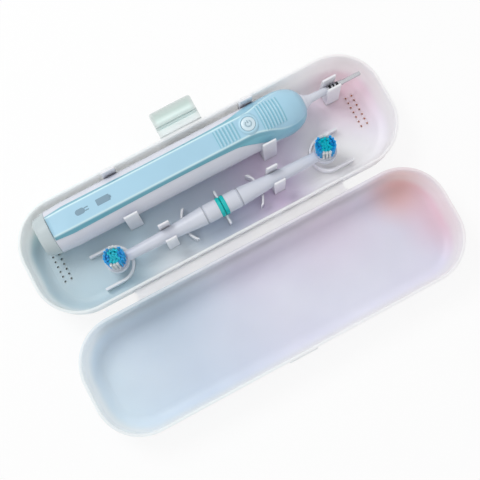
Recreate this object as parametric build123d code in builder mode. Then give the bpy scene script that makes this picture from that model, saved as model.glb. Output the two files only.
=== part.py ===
from build123d import *
import math
import os

# Electric toothbrush travel case, lying open, with the toothbrush and two brush heads in it.
# Millimetres. X runs along the case (the drive shaft points to +X), Y points to the latch, Z is up.
# The origin is the centre of the base tray's flat underside.

# ---------------------------------------------------------------- driving dimensions: toothbrush
HANDLE_RADIUS = 12.5
END_CAP_LENGTH = 7.5
BODY_LENGTH = 149.0
SNOUT_LENGTH = 15.0
SHAFT_NECK_LENGTH = 8.0
SHAFT_COLLAR_LENGTH = 1.5
SHAFT_TIP_LENGTH = 11.0
SHAFT_RADIUS = 1.7
SHAFT_TIP_RADIUS = 1.15
SHAFT_FLAT_DEPTH = 0.35
SHAFT_BEVEL = 0.25
SHAFT_FLAT_LENGTH = 8.5
SHAFT_CLEARANCE = 0.05
SEAM_INSET = 0.6
SEAM_TAPER_LENGTH = 10.0
SHOULDER_RADIUS = 5.4
SHOULDER_LENGTH = 14.0
SHOULDER_BEND = 3.0
SHOULDER_FULLNESS = 0.74
CAP_END_INSET = 2.7
CAP_EDGE_LENGTH = 1.6
CAP_EDGE_RISE = 0.9
SEAM_GROOVE = 0.4
SNOUT_RADIUS = 2.05
SNOUT_CONE_RADIUS = 4.7
SNOUT_CONE_LENGTH = 5.0
SPIGOT_RADIUS = 4.2
GRIP_THICKNESS = 1.2
GRIP_LEDGE = 0.3
GRIP_FALL_LENGTH = 45.0
GRIP_STEP_LENGTH = 31.0
GRIP_STEP_DEPTH = 3.2
GRIP_MIDDLE_LENGTH = 17.0
GRIP_WRAP_LENGTH = 10.0
GRIP_WRAP_DEPTH = 3.75
HOUSING_WALL = 1.6
FRONT_RISE = 0.6
FRONT_FOOT_DEPTH = 3.5
FRONT_END_RISE = 1.0
FRONT_FALL_LENGTH = 22.0
FRONT_END_LENGTH = 8.0
FRONT_FROM_SEAM = 0.3
FRONT_HALF_WIDTH = 5.7
FRONT_FOOT_HALF_WIDTH = 7.6
BUTTON_RADIUS = 3.9
BUTTON_TRAVEL = 0.8
BUTTON_CAP_HEIGHT = 2.2
BUTTON_PROUD = 0.6
BUTTON_EDGE_RADIUS = 0.7
BUTTON_STEM_RADIUS = 1.5
BUTTON_CLEARANCE = 0.15
BUTTON_FROM_SHOULDER = 32.9
COLLAR_WIDTH = 1.2
COLLAR_HEIGHT = 0.7
MARK_RADIUS = 1.7
MARK_LINE = 0.6
MARK_HEIGHT = 0.3
RIB_WIDTH = 0.9
RIB_HEIGHT = 0.35
RIB_HALF_LENGTH = 4.6
LOWER_RIBS = 6
LOWER_RIB_PITCH = 2.0
UPPER_RIBS = 8
UPPER_RIB_PITCH = 2.2
RIB_GAP_FROM_BUTTON = 6.6
CHARGE_WINDOW = (8.0, 3.2)
CELL_WINDOW = (8.0, 3.8)
CHARGE_WINDOW_FROM_SEAM = 19.5
CELL_WINDOW_FROM_SEAM = 31.7
WINDOW_DEPTH = 0.8
WINDOW_CORNER = 0.5

# ---------------------------------------------------------------- driving dimensions: inside the handle
CHASSIS_WALL = 1.5
CHASSIS_PLAY = 0.1
BOARD_HALF_WIDTH = 4.6
BOARD_THICKNESS = 0.8
BOARD_ROOM = 0.5
SWITCH_SIDE = 4.0
SWITCH_HEIGHT = 0.9
STEM_GAP = 0.1
LED_SIZE = (2.0, 1.4, 0.7)
CELL_SLACK = 0.4
CELL_LENGTH = 50.0
CONTACT_THICKNESS = 0.6
MOTOR_BOARD_GAP = 0.37
MOTOR_LENGTH = 28.0
MOTOR_FROM_BUTTON = 18.5
CELL_FROM_MOTOR = 6.0
PINION_RADIUS = 1.2
PINION_LENGTH = 3.5
GEAR_PLAY = 0.05
CRANK_ROOM = 0.35
CRANK_START = 1.0
CRANK_THICKNESS = 2.0
CRANK_PIN_RADIUS = 0.6
CRANK_PIN_LENGTH = 5.5
ROCKER_START = 5.0
ROCKER_LENGTH = 3.0
ROCKER_WALL = 0.65
ROCKER_ARM = 0.9
ROCKER_PLAY = 0.15
SHAFT_SWING = 22.0
BEARING_LENGTH = 4.0
BEARING_FROM_BUTTON = 8.0
CAVITY_FROM_SHOULDER = 12.0
INNER_GAP = 0.5
SEAL_LENGTH = 2.5
SEAL_RADIUS = 3.2
COIL_LENGTH = 6.0
CAP_SPIGOT_LENGTH = 5.0
SEAL_GROOVE_AT = 1.5
SEAL_GROOVE_WIDTH = 1.6
SEAL_GROOVE_DEPTH = 0.8
SEAL_PLAY = 0.1
SEAL_SHOULDER = 0.2

# ---------------------------------------------------------------- driving dimensions: brush heads
HEAD_RADIUS = 5.25
RING_RADIUS = 5.5
RING_WIDTH = 2.2
RING_DEPTH = 0.9
RING_BEVEL = 0.3
HEAD_GAP = 0.3
HEAD_ROLL = 8.0
SLEEVE_LENGTH = 10.5
SLEEVE_GROOVE = 0.5
STEM_START = 6.0
STEM_END_ROOM = 0.5
TAPER_LENGTH = 18.5
NECK_LENGTH = 26.0
TAPER_END_RADIUS = 3.7
NECK_END_RADIUS = 2.95
CUP_RADIUS = 6.3
CUP_WALL = 0.4
CUP_FLOOR = 2.4
CUP_RIM = 1.5
CUP_FROM_NECK = 1.2
CUP_BASE = 0.8
DISC_THICKNESS = 2.1
DISC_CLEARANCE = 0.15
PIN_RADIUS = 0.7
PIN_CLEARANCE = 0.05
PIN_BELOW_TOP = 0.2
STEM_RADIUS = 1.4
STEM_CLEARANCE = 0.05
BRISTLE_LENGTH = 8.5
CENTRE_BRISTLE_LENGTH = 7.7
BRISTLE_SIDE = 0.42
BRISTLE_PITCH = 0.72
BRISTLE_BASE = 0.6
BRISTLE_MARGIN = 0.55
CENTRE_TUFT_RADIUS = 3.2

# ---------------------------------------------------------------- driving dimensions: case
WALL = 1.5
FLOOR = 1.6
CASE_DEPTH = 20.0
CORNER_RADIUS = 25.0
FLOOR_RADIUS = 10.0
RIM_RADIUS = 0.4
WALL_DRAFT = 1.5
CAP_END_GAP = 12.0
SHAFT_END_GAP = 5.0
HANDLE_SIDE_GAP = 2.55
LANE = 10.1
HEAD_SIDE_GAP = 11.05
HANDLE_LIFT = 0.8
HEAD_LIFT = 4.4
STRIP_WIDTH = 6.1
STRIP_LENGTH = 124.0
STRIP_THICKNESS = 0.7
STRIP_DROP = 0.1
STRIP_NOTCH_RADIUS = 4.0
STRIP_NOTCH_DEPTH = 0.9
BEAD_RADIUS = 0.4
BEAD_CLEARANCE = 0.05
GROOVE_RUN_OUT = 0.5
RIM_GAP = 0.1
VENT_RADIUS = 0.5
VENT_ROWS = 7
VENT_PITCH = 2.95
VENT_COLUMN_GAP = 3.65
VENT_FROM_END = 13.45
VENT_CENTRE_Y = 0.7

# ---------------------------------------------------------------- driving dimensions: latch
LATCH_WIDTH = 24.4
LATCH_OUT = 1.1
LATCH_DROP = 0.9
LATCH_WEB_THICKNESS = 0.5
LATCH_WEB_LENGTH = 3.0
LATCH_STEP = 0.6
LATCH_LENGTH = 14.25
LATCH_THICKNESS = 1.8
LATCH_CORNER = 1.6
LATCH_GROOVE = 0.5
LATCH_GROOVE_AT = 0.4
LATCH_GROOVE_HALF = 0.5
LATCH_BEAD_AT = 5.8
LATCH_BEAD_HEIGHT = 0.8
CATCH_OVERHANG = 0.7
CATCH_HEIGHT = 1.6
CATCH_WIDTH = 16.0
CATCH_PLAY = 0.15
FLANGE_FLARE = 1.0
FLANGE_LIP = 0.35

# ---------------------------------------------------------------- driving dimensions: clips and ribs
CLIP_CLEARANCE = 0.25
SEAT_CLEARANCE = 0.12
ARM_TIP = 1.2
ARM_TIP_RADIUS = 0.48
ARM_FOOT = 3.2
ARM_TOP = 6.0
CLIP_LENGTH = 7.7
LEFT_CLIP_FROM_SEAM = 36.2
RIGHT_CLIP_FROM_SHOULDER = 31.3
SHAFT_CLIP_FROM_SNOUT_END = 1.5
SHAFT_ARM_TOP = 4.0
HEAD_CLIP_LENGTH = 6.2
HEAD_CLIP_AT = 29.0
HEAD_ARM_TOP = 1.5
HEAD_ARM_FOOT = 2.2
SADDLE_AT = 22.3
SADDLE_ARC_RADIUS = 13.3
SADDLE_HALF_SPAN = 9.3
SADDLE_THICKNESS = 1.1
SADDLE_BELOW_AXIS = 2.0
MIDDLE_RIB_HALF_SPAN = 9.8
GUARD_HALF_WIDTH = 10.3
GUARD_THICKNESS = 1.3
GUARD_HEIGHT = 5.0
GUARD_LEG = 10.5
GUARD_SHIFT = 2.0

# ---------------------------------------------------------------- worked out from them
HANDLE_LENGTH = (
    END_CAP_LENGTH + BODY_LENGTH + SNOUT_LENGTH
    + SHAFT_NECK_LENGTH + SHAFT_COLLAR_LENGTH + SHAFT_TIP_LENGTH
)
CASE_LENGTH = 2 * WALL + CAP_END_GAP + HANDLE_LENGTH + SHAFT_END_GAP
CASE_WIDTH = 2 * WALL + HANDLE_SIDE_GAP + 2 * HANDLE_RADIUS + LANE + 2 * CUP_RADIUS + HEAD_SIDE_GAP

CAP_END_X = -CASE_LENGTH / 2 + WALL + CAP_END_GAP
SEAM_X = CAP_END_X + END_CAP_LENGTH
SHOULDER_X = SEAM_X + BODY_LENGTH
SNOUT_END_X = SHOULDER_X + SNOUT_LENGTH
COLLAR_X = SNOUT_END_X + SHAFT_NECK_LENGTH
TIP_X = COLLAR_X + SHAFT_COLLAR_LENGTH
SHAFT_END_X = TIP_X + SHAFT_TIP_LENGTH
BUTTON_X = SHOULDER_X - BUTTON_FROM_SHOULDER
HANDLE_Y = CASE_WIDTH / 2 - WALL - HANDLE_SIDE_GAP - HANDLE_RADIUS
HANDLE_Z = FLOOR + HANDLE_LIFT + HANDLE_RADIUS
HEAD_Y = HANDLE_Y - HANDLE_RADIUS - LANE - CUP_RADIUS
HEAD_Z = FLOOR + HEAD_LIFT + RING_RADIUS
LID_Y = -(CASE_WIDTH + STRIP_WIDTH)

FRONT_Z = HANDLE_Z + HANDLE_RADIUS + FRONT_RISE
HOUSING_RADIUS = HANDLE_RADIUS - GRIP_THICKNESS
CAVITY_RADIUS = HOUSING_RADIUS - HOUSING_WALL
CHASSIS_RADIUS = CAVITY_RADIUS - CHASSIS_PLAY
CHASSIS_BORE = CHASSIS_RADIUS - CHASSIS_WALL
CAVITY_END_X = SHOULDER_X - CAVITY_FROM_SHOULDER
BEARING_X = BUTTON_X + BEARING_FROM_BUTTON
COIL_X = SEAM_X + CAP_SPIGOT_LENGTH + INNER_GAP
BOARD_START_X = COIL_X + COIL_LENGTH + 2 * INNER_GAP
BOARD_END_X = BEARING_X - 2 * INNER_GAP
BOARD_TOP = HANDLE_Z + math.sqrt((CAVITY_RADIUS - BOARD_ROOM) ** 2 - BOARD_HALF_WIDTH**2)
BOARD_Z = BOARD_TOP - BOARD_THICKNESS
MOTOR_END_X = BUTTON_X - MOTOR_FROM_BUTTON
TROUGH_Z = HANDLE_Z - CHASSIS_BORE + CHASSIS_PLAY
MOTOR_RADIUS = (BOARD_Z - MOTOR_BOARD_GAP - TROUGH_Z) / 2
MOTOR_Z = TROUGH_Z + MOTOR_RADIUS
CELL_RADIUS = MOTOR_RADIUS - CELL_SLACK
CELL_Z = TROUGH_Z + CELL_RADIUS
CELL_END_X = MOTOR_END_X - MOTOR_LENGTH - CELL_FROM_MOTOR
CRANK_RADIUS = (MOTOR_RADIUS - PINION_RADIUS - GEAR_PLAY - CRANK_ROOM) / 2
CRANK_Z = MOTOR_Z - PINION_RADIUS - CRANK_RADIUS - GEAR_PLAY
CRANK_PIN_Z = CRANK_Z + CRANK_RADIUS / 2
ROCKER_X = MOTOR_END_X + ROCKER_START
BUTTON_TOP_Z = FRONT_Z + COLLAR_HEIGHT + BUTTON_PROUD
BUTTON_FOOT_Z = BUTTON_TOP_Z - BUTTON_CAP_HEIGHT
STEM_FOOT_Z = BOARD_TOP + SWITCH_HEIGHT + BUTTON_TRAVEL + STEM_GAP

RING_END = HEAD_GAP / 2 + RING_WIDTH
TAPER_END = SLEEVE_LENGTH + TAPER_LENGTH
NECK_END = TAPER_END + NECK_LENGTH
DISC_X = NECK_END + CUP_RADIUS + CUP_FROM_NECK
CUP_FLOOR_Z = HEAD_Z - CUP_FLOOR
CUP_TOP_Z = HEAD_Z + CUP_RIM
PIN_FOOT_Z = CUP_FLOOR_Z + CUP_BASE
DISC_FOOT_Z = HEAD_Z + DISC_CLEARANCE
DISC_TOP_Z = DISC_FOOT_Z + DISC_THICKNESS
DISC_RADIUS = CUP_RADIUS - CUP_WALL - DISC_CLEARANCE

HINGE_DEPTH = (STRIP_WIDTH - RIM_GAP) / 2
HINGE_Z = CASE_DEPTH - HINGE_DEPTH
BASE_AXIS_Y = -CASE_WIDTH / 2
LID_AXIS_Y = BASE_AXIS_Y - STRIP_WIDTH
LATCH_Y = CASE_WIDTH / 2 + LATCH_OUT
LATCH_Z = CASE_DEPTH - LATCH_DROP
SADDLE_TOP = HEAD_Z - SADDLE_BELOW_AXIS
LATCH_BEAD_HALF = LATCH_BEAD_HEIGHT * 0.75
LATCH_BEAD_FOOT_Z = LATCH_Z + LATCH_BEAD_AT - LATCH_BEAD_HALF
CATCH_Z = 2 * CASE_DEPTH + RIM_GAP - LATCH_BEAD_FOOT_Z + CATCH_PLAY + CATCH_HEIGHT / 2
HANDLE_ARM_TOP = CASE_DEPTH + ARM_TOP


def save(piece, name):
    """Names a finished piece and writes its own STEP file."""
    piece.part.label = name
    export_step(piece.part, f"parts/{name}.step")


# ================================================================ case shells
def case_form(centre_y, inset, floor, floor_radius):
    """The solid form of one half of the case, from its rim down to the given floor height."""
    with BuildPart() as form:
        with BuildSketch(Plane.XY.offset(CASE_DEPTH)):
            with Locations((0, centre_y)):
                RectangleRounded(
                    CASE_LENGTH - 2 * inset, CASE_WIDTH - 2 * inset, CORNER_RADIUS - inset
                )
        extrude(amount=floor - CASE_DEPTH, taper=WALL_DRAFT)
        fillet(form.faces().sort_by(Axis.Z)[0].edges(), floor_radius)
    return form


def case_space(centre_y):
    """The room inside one half of the case, carried on straight up above the rim."""
    with BuildPart() as space:
        add(case_form(centre_y, WALL, FLOOR, FLOOR_RADIUS - FLOOR))
        with BuildSketch(Plane.XY.offset(CASE_DEPTH)):
            with Locations((0, centre_y)):
                RectangleRounded(
                    CASE_LENGTH - 2 * WALL, CASE_WIDTH - 2 * WALL, CORNER_RADIUS - WALL
                )
        extrude(amount=CASE_DEPTH)
    return space


def hinge_groove(axis_y):
    """A round groove along the wall, in which one edge bead of the hinge strip turns."""
    with BuildPart() as groove:
        with Locations(Location((0, axis_y, HINGE_Z), (0, 90, 0))):
            Cylinder(BEAD_RADIUS + BEAD_CLEARANCE, STRIP_LENGTH + 2 * GROOVE_RUN_OUT)
    return groove


tray_space = case_space(0)


def make_base_tray():
    with BuildPart() as tray:
        add(case_form(0, 0, 0, FLOOR_RADIUS))
        # flared root flange that carries the latch's hinge line
        with BuildSketch(Plane.XY.offset(LATCH_Z - 2 * BEAD_RADIUS)):
            with BuildLine():
                Polyline(
                    (-LATCH_WIDTH / 2 - FLANGE_FLARE, CASE_WIDTH / 2 - WALL),
                    (LATCH_WIDTH / 2 + FLANGE_FLARE, CASE_WIDTH / 2 - WALL),
                    (LATCH_WIDTH / 2, LATCH_Y - CATCH_PLAY),
                    (-LATCH_WIDTH / 2, LATCH_Y - CATCH_PLAY),
                    close=True,
                )
            make_face()
        extrude(amount=2 * BEAD_RADIUS + FLANGE_LIP)
        with Locations(Location((0, LATCH_Y, LATCH_Z), (0, 90, 0))):
            Cylinder(
                BEAD_RADIUS + BEAD_CLEARANCE, LATCH_WIDTH + 2 * FLANGE_FLARE, mode=Mode.SUBTRACT
            )
        add(tray_space, mode=Mode.SUBTRACT)
        add(hinge_groove(BASE_AXIS_Y), mode=Mode.SUBTRACT)
        for side in (-1, 1):
            column_x = side * (CASE_LENGTH / 2 - VENT_FROM_END - VENT_COLUMN_GAP / 2)
            with BuildSketch(Plane.XY):
                with Locations((column_x, VENT_CENTRE_Y)):
                    with GridLocations(VENT_COLUMN_GAP, VENT_PITCH, 2, VENT_ROWS):
                        Circle(VENT_RADIUS)
            extrude(amount=FLOOR, mode=Mode.SUBTRACT)
        fillet(tray.edges().group_by(Axis.Z)[-1], RIM_RADIUS)
    return tray


def make_lid():
    rim_y = LID_Y - CASE_WIDTH / 2
    with BuildPart() as lid:
        add(case_form(LID_Y, 0, 0, FLOOR_RADIUS))
        # catch ridge outside the front wall, over which the latch bead snaps when the case is shut
        with BuildSketch(Plane.YZ.offset(-CATCH_WIDTH / 2)):
            with BuildLine():
                Polyline(
                    (rim_y + WALL, CATCH_Z + CATCH_HEIGHT / 2),
                    (rim_y, CATCH_Z + CATCH_HEIGHT / 2),
                    (rim_y - CATCH_OVERHANG, CATCH_Z),
                    (rim_y - CATCH_OVERHANG, CATCH_Z - CATCH_HEIGHT / 4),
                    (rim_y, CATCH_Z - CATCH_HEIGHT / 2),
                    (rim_y + WALL, CATCH_Z - CATCH_HEIGHT / 2),
                    close=True,
                )
            make_face()
        extrude(amount=CATCH_WIDTH)
        add(case_space(LID_Y), mode=Mode.SUBTRACT)
        add(hinge_groove(LID_AXIS_Y), mode=Mode.SUBTRACT)
        fillet(lid.edges().group_by(Axis.Z)[-1], RIM_RADIUS)
    return lid


def make_hinge_strip():
    """The strip between the two halves. Each long edge ends in a bead on its fold line."""
    middle_y = (BASE_AXIS_Y + LID_AXIS_Y) / 2
    top = HINGE_Z - STRIP_DROP
    with BuildPart() as strip:
        with BuildSketch(Plane.YZ.offset(-STRIP_LENGTH / 2)):
            with Locations((middle_y, top - STRIP_THICKNESS / 2)):
                Rectangle(STRIP_WIDTH, STRIP_THICKNESS)
            with Locations((BASE_AXIS_Y, HINGE_Z), (LID_AXIS_Y, HINGE_Z)):
                Circle(BEAD_RADIUS)
            # nothing of the strip reaches past the beads, so it clears both walls
            for axis_y, outward in ((BASE_AXIS_Y, 1), (LID_AXIS_Y, -1)):
                with Locations((axis_y + outward * STRIP_WIDTH / 2, top - BEAD_RADIUS - WALL)):
                    Rectangle(STRIP_WIDTH, 2 * WALL, mode=Mode.SUBTRACT)
        extrude(amount=STRIP_LENGTH)
        notch_x = STRIP_LENGTH / 2 + STRIP_NOTCH_RADIUS - STRIP_NOTCH_DEPTH
        with Locations((-notch_x, middle_y, HINGE_Z), (notch_x, middle_y, HINGE_Z)):
            Cylinder(STRIP_NOTCH_RADIUS, 4 * STRIP_THICKNESS, mode=Mode.SUBTRACT)
    return strip


def make_latch_flap():
    """The flap that folds up over the lid's catch: bead, thin web, hook bead and finger plate."""
    web = LATCH_WEB_THICKNESS / 2
    web_end = LATCH_Y + LATCH_WEB_LENGTH
    groove_y = web_end + LATCH_GROOVE_AT + LATCH_GROOVE_HALF
    bead_y = LATCH_Y + LATCH_BEAD_AT
    bottom = LATCH_Z + web - LATCH_THICKNESS
    with BuildPart() as flap:
        with BuildSketch(Plane.YZ.offset(-LATCH_WIDTH / 2)):
            with BuildLine():
                Polyline(
                    (LATCH_Y, LATCH_Z - web),
                    (web_end, LATCH_Z - web),
                    (web_end + LATCH_STEP, bottom),
                    (LATCH_Y + LATCH_LENGTH, bottom),
                    (LATCH_Y + LATCH_LENGTH, LATCH_Z + web),
                    (bead_y + LATCH_BEAD_HALF, LATCH_Z + web),
                    (bead_y + LATCH_BEAD_HALF / 2, LATCH_Z + web + LATCH_BEAD_HEIGHT),
                    (bead_y - LATCH_BEAD_HALF / 2, LATCH_Z + web + LATCH_BEAD_HEIGHT),
                    (bead_y - LATCH_BEAD_HALF, LATCH_Z + web),
                    (groove_y + LATCH_GROOVE_HALF, LATCH_Z + web),
                    (groove_y, LATCH_Z + web - LATCH_GROOVE),
                    (groove_y - LATCH_GROOVE_HALF, LATCH_Z + web),
                    (LATCH_Y, LATCH_Z + web),
                    close=True,
                )
            make_face()
            with Locations((LATCH_Y, LATCH_Z)):
                Circle(BEAD_RADIUS)
        extrude(amount=LATCH_WIDTH)
        corners = flap.edges().filter_by(Axis.Z).group_by(Axis.Y)[-1]
        fillet(corners, LATCH_CORNER)
    return flap


# ================================================================ clips and ribs in the tray
def u_clip(start, length, axis_y, axis_z, held_radius, top, foot):
    """Two upright arms on one foot, with a round seat between them, moulded on the tray's floor."""
    inner = held_radius + CLIP_CLEARANCE
    with BuildPart() as clip:
        with BuildSketch(Plane.YZ.offset(start)):
            with BuildLine():
                Polyline(
                    (axis_y - inner - foot, FLOOR),
                    (axis_y + inner + foot, FLOOR),
                    (axis_y + inner + ARM_TIP, top),
                    (axis_y - inner - ARM_TIP, top),
                    close=True,
                )
            make_face()
            with Locations((axis_y, axis_z)):
                Circle(held_radius + SEAT_CLEARANCE, mode=Mode.SUBTRACT)
            with Locations((axis_y, axis_z + top / 2)):
                Rectangle(2 * inner, top, mode=Mode.SUBTRACT)
        extrude(amount=length)
        add(tray_space, mode=Mode.INTERSECT)
        tips = clip.edges().filter_by(Axis.X).group_by(Axis.Z)[-1]
        fillet(tips, ARM_TIP_RADIUS)
    return clip


def saddle_rib(side):
    """A thin upright rib, curved in plan, with a round notch in which a brush head lies."""
    arc_x = side * (SADDLE_AT - SADDLE_ARC_RADIUS)
    with BuildPart() as rib:
        with BuildSketch(Plane.XY.offset(FLOOR)):
            with Locations((arc_x, HEAD_Y)):
                Circle(SADDLE_ARC_RADIUS + SADDLE_THICKNESS)
                Circle(SADDLE_ARC_RADIUS, mode=Mode.SUBTRACT)
            with Locations((side * SADDLE_AT, HEAD_Y)):
                Rectangle(2 * SADDLE_HALF_SPAN, 2 * SADDLE_HALF_SPAN, mode=Mode.INTERSECT)
        extrude(amount=SADDLE_TOP - FLOOR)
        with Locations(Location((side * SADDLE_AT, HEAD_Y, HEAD_Z), (0, 90, 0))):
            Cylinder(
                head_radius(SADDLE_AT - SADDLE_HALF_SPAN) + SEAT_CLEARANCE, 4 * SADDLE_HALF_SPAN,
                mode=Mode.SUBTRACT,
            )
        add(tray_space, mode=Mode.INTERSECT)
    return rib


def middle_rib():
    """The straight rib under the place where the two brush heads meet."""
    with BuildPart() as rib:
        with BuildSketch(Plane.XY.offset(FLOOR)):
            with Locations((0, HEAD_Y)):
                Rectangle(SADDLE_THICKNESS, 2 * MIDDLE_RIB_HALF_SPAN)
        extrude(amount=SADDLE_TOP - FLOOR)
        with Locations(Location((0, HEAD_Y, HEAD_Z), (0, 90, 0))):
            Cylinder(RING_RADIUS + SEAT_CLEARANCE, 4 * SADDLE_THICKNESS, mode=Mode.SUBTRACT)
        add(tray_space, mode=Mode.INTERSECT)
    return rib


def guard_rib(side):
    """A low U-shaped wall on the floor round the bristles of one brush head."""
    arc_x = side * (DISC_X + GUARD_SHIFT)
    with BuildPart() as guard:
        with BuildSketch(Plane.XY.offset(FLOOR)):
            for inset, mode in ((0, Mode.ADD), (GUARD_THICKNESS, Mode.SUBTRACT)):
                with Locations((arc_x, HEAD_Y)):
                    Circle(GUARD_HALF_WIDTH - inset, mode=mode)
                with Locations((arc_x + side * GUARD_LEG / 2, HEAD_Y)):
                    Rectangle(GUARD_LEG, 2 * (GUARD_HALF_WIDTH - inset), mode=mode)
            with Locations((arc_x + side * (GUARD_LEG + GUARD_HALF_WIDTH), HEAD_Y)):
                Rectangle(2 * GUARD_HALF_WIDTH, 3 * GUARD_HALF_WIDTH, mode=Mode.SUBTRACT)
        extrude(amount=GUARD_HEIGHT)
        add(tray_space, mode=Mode.INTERSECT)
    return guard


# ================================================================ toothbrush handle
def handle_form(inset):
    """The round outer form of the handle, drawn in by the given amount, as a solid."""
    radius = HANDLE_RADIUS - inset
    with BuildPart() as form:
        with BuildSketch(Plane.XY.offset(HANDLE_Z)):
            with BuildLine():
                Polyline(
                    (SHOULDER_X - inset, HANDLE_Y + SHOULDER_RADIUS),
                    (SHOULDER_X - inset, HANDLE_Y),
                    (SEAM_X, HANDLE_Y),
                    (SEAM_X, HANDLE_Y + radius - SEAM_INSET),
                    (SEAM_X + SEAM_TAPER_LENGTH, HANDLE_Y + radius),
                    (SHOULDER_X - SHOULDER_LENGTH, HANDLE_Y + radius),
                )
                Spline(
                    (SHOULDER_X - SHOULDER_LENGTH, HANDLE_Y + radius),
                    (SHOULDER_X - inset - SHOULDER_BEND, HANDLE_Y + SHOULDER_FULLNESS * radius),
                    (SHOULDER_X - inset, HANDLE_Y + SHOULDER_RADIUS),
                    tangents=((1.0, 0.0), (0.35, -1.0)),
                )
            make_face()
        revolve(axis=Axis((0, HANDLE_Y, HANDLE_Z), (1, 0, 0)))
    return form


def grip_region():
    """The room above the parting line between the soft front grip and the white housing."""
    ledge_z = HANDLE_Z + math.sqrt(HANDLE_RADIUS**2 - (FRONT_FOOT_HALF_WIDTH - GRIP_LEDGE) ** 2)
    wrap_z = HANDLE_Z - GRIP_WRAP_DEPTH
    end_x = SHOULDER_X + HANDLE_RADIUS
    top_z = FRONT_Z + HANDLE_RADIUS
    with BuildPart() as region:
        with BuildSketch(Plane.XZ.offset(-HANDLE_Y - 2 * HANDLE_RADIUS)):
            with BuildLine():
                Polyline(
                    (SHOULDER_X - GRIP_WRAP_LENGTH, wrap_z),
                    (end_x, wrap_z),
                    (end_x, top_z),
                    (SEAM_X, top_z),
                    (SEAM_X, ledge_z),
                    (SHOULDER_X - GRIP_FALL_LENGTH, ledge_z),
                )
                Spline(
                    (SHOULDER_X - GRIP_FALL_LENGTH, ledge_z),
                    (SHOULDER_X - GRIP_STEP_LENGTH, ledge_z - GRIP_STEP_DEPTH),
                    (SHOULDER_X - GRIP_MIDDLE_LENGTH, HANDLE_Z),
                    (SHOULDER_X - GRIP_WRAP_LENGTH, wrap_z),
                    tangents=((1.0, 0.0), (1.0, 0.0)),
                )
            make_face()
        extrude(amount=4 * HANDLE_RADIUS)
    return region


def front_slab(rise):
    """The flat front of the grip, raised by an amount: sloping sides, running out over the bulge."""
    slab_start = SEAM_X + FRONT_FROM_SEAM
    slab_end = SHOULDER_X - FRONT_END_LENGTH
    top_z = FRONT_Z + rise
    foot_z = HANDLE_Z + HANDLE_RADIUS - FRONT_FOOT_DEPTH
    end_z = foot_z + FRONT_END_RISE + rise
    with BuildPart() as slab:
        with BuildSketch(Plane.YZ.offset(slab_start)):
            with BuildLine():
                Polyline(
                    (HANDLE_Y - FRONT_FOOT_HALF_WIDTH, foot_z),
                    (HANDLE_Y + FRONT_FOOT_HALF_WIDTH, foot_z),
                    (HANDLE_Y + FRONT_HALF_WIDTH, top_z),
                    (HANDLE_Y - FRONT_HALF_WIDTH, top_z),
                    close=True,
                )
            make_face()
        extrude(amount=slab_end - slab_start)
        with BuildSketch(Plane.XZ.offset(-HANDLE_Y - 2 * HANDLE_RADIUS)):
            with BuildLine():
                start = (SHOULDER_X - FRONT_FALL_LENGTH, top_z)
                Polyline(
                    start,
                    (SEAM_X, top_z),
                    (SEAM_X, HANDLE_Z),
                    (slab_end, HANDLE_Z),
                    (slab_end, end_z),
                )
                Spline(start, (slab_end, end_z), tangents=((1.0, 0.0), (0.6, -1.0)))
            make_face()
        extrude(amount=4 * HANDLE_RADIUS, mode=Mode.INTERSECT)
    return slab


def window(kind, centre_x):
    """Sketch of one of the two light windows in the grip's front face."""
    width, height = kind
    with BuildSketch(Plane.XY.offset(FRONT_Z)) as outline:
        with Locations((centre_x, HANDLE_Y)):
            if kind is CHARGE_WINDOW:
                SlotOverall(width, height)
            else:
                RectangleRounded(width, height, WINDOW_CORNER)
    return outline


charge_window = window(CHARGE_WINDOW, SEAM_X + CHARGE_WINDOW_FROM_SEAM)
cell_window = window(CELL_WINDOW, SEAM_X + CELL_WINDOW_FROM_SEAM)


def finger_ribs():
    """Low ribs across the grip's front on both sides of the button, following its surface."""
    lower = [BUTTON_X - RIB_GAP_FROM_BUTTON - n * LOWER_RIB_PITCH for n in range(LOWER_RIBS)]
    upper = [BUTTON_X + RIB_GAP_FROM_BUTTON + n * UPPER_RIB_PITCH for n in range(UPPER_RIBS)]
    with BuildPart() as ribs:
        with BuildSketch(Plane.XY.offset(HANDLE_Z)):
            with Locations(*[(x, HANDLE_Y) for x in lower + upper]):
                Rectangle(RIB_WIDTH, 2 * RIB_HALF_LENGTH)
        extrude(amount=2 * HANDLE_RADIUS)
        add(front_slab(RIB_HEIGHT), mode=Mode.INTERSECT)
    return ribs


def make_front_grip():
    """The soft light blue front, moulded on the housing, with ribs and the button's collar."""
    with BuildPart() as grip:
        add(handle_form(0))
        add(front_slab(0))
        add(finger_ribs())
        add(grip_region(), mode=Mode.INTERSECT)
        with Locations((BUTTON_X, HANDLE_Y, FRONT_Z + COLLAR_HEIGHT)):
            Cone(
                BUTTON_RADIUS + COLLAR_WIDTH + COLLAR_HEIGHT, BUTTON_RADIUS + COLLAR_WIDTH * 0.6,
                2 * COLLAR_HEIGHT, align=(Align.CENTER, Align.CENTER, Align.MAX),
            )
        add(handle_form(GRIP_THICKNESS), mode=Mode.SUBTRACT)
        with Locations((BUTTON_X, HANDLE_Y, FRONT_Z)):
            Cylinder(BUTTON_RADIUS + BUTTON_CLEARANCE, 6 * GRIP_THICKNESS, mode=Mode.SUBTRACT)
        with Locations(Location((SHOULDER_X, HANDLE_Y, HANDLE_Z), (0, 90, 0))):
            Cylinder(SPIGOT_RADIUS, SHOULDER_LENGTH, mode=Mode.SUBTRACT)
        extrude(charge_window.sketch, amount=-WINDOW_DEPTH, mode=Mode.SUBTRACT)
        extrude(cell_window.sketch, amount=-WINDOW_DEPTH, mode=Mode.SUBTRACT)
    return grip


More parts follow.
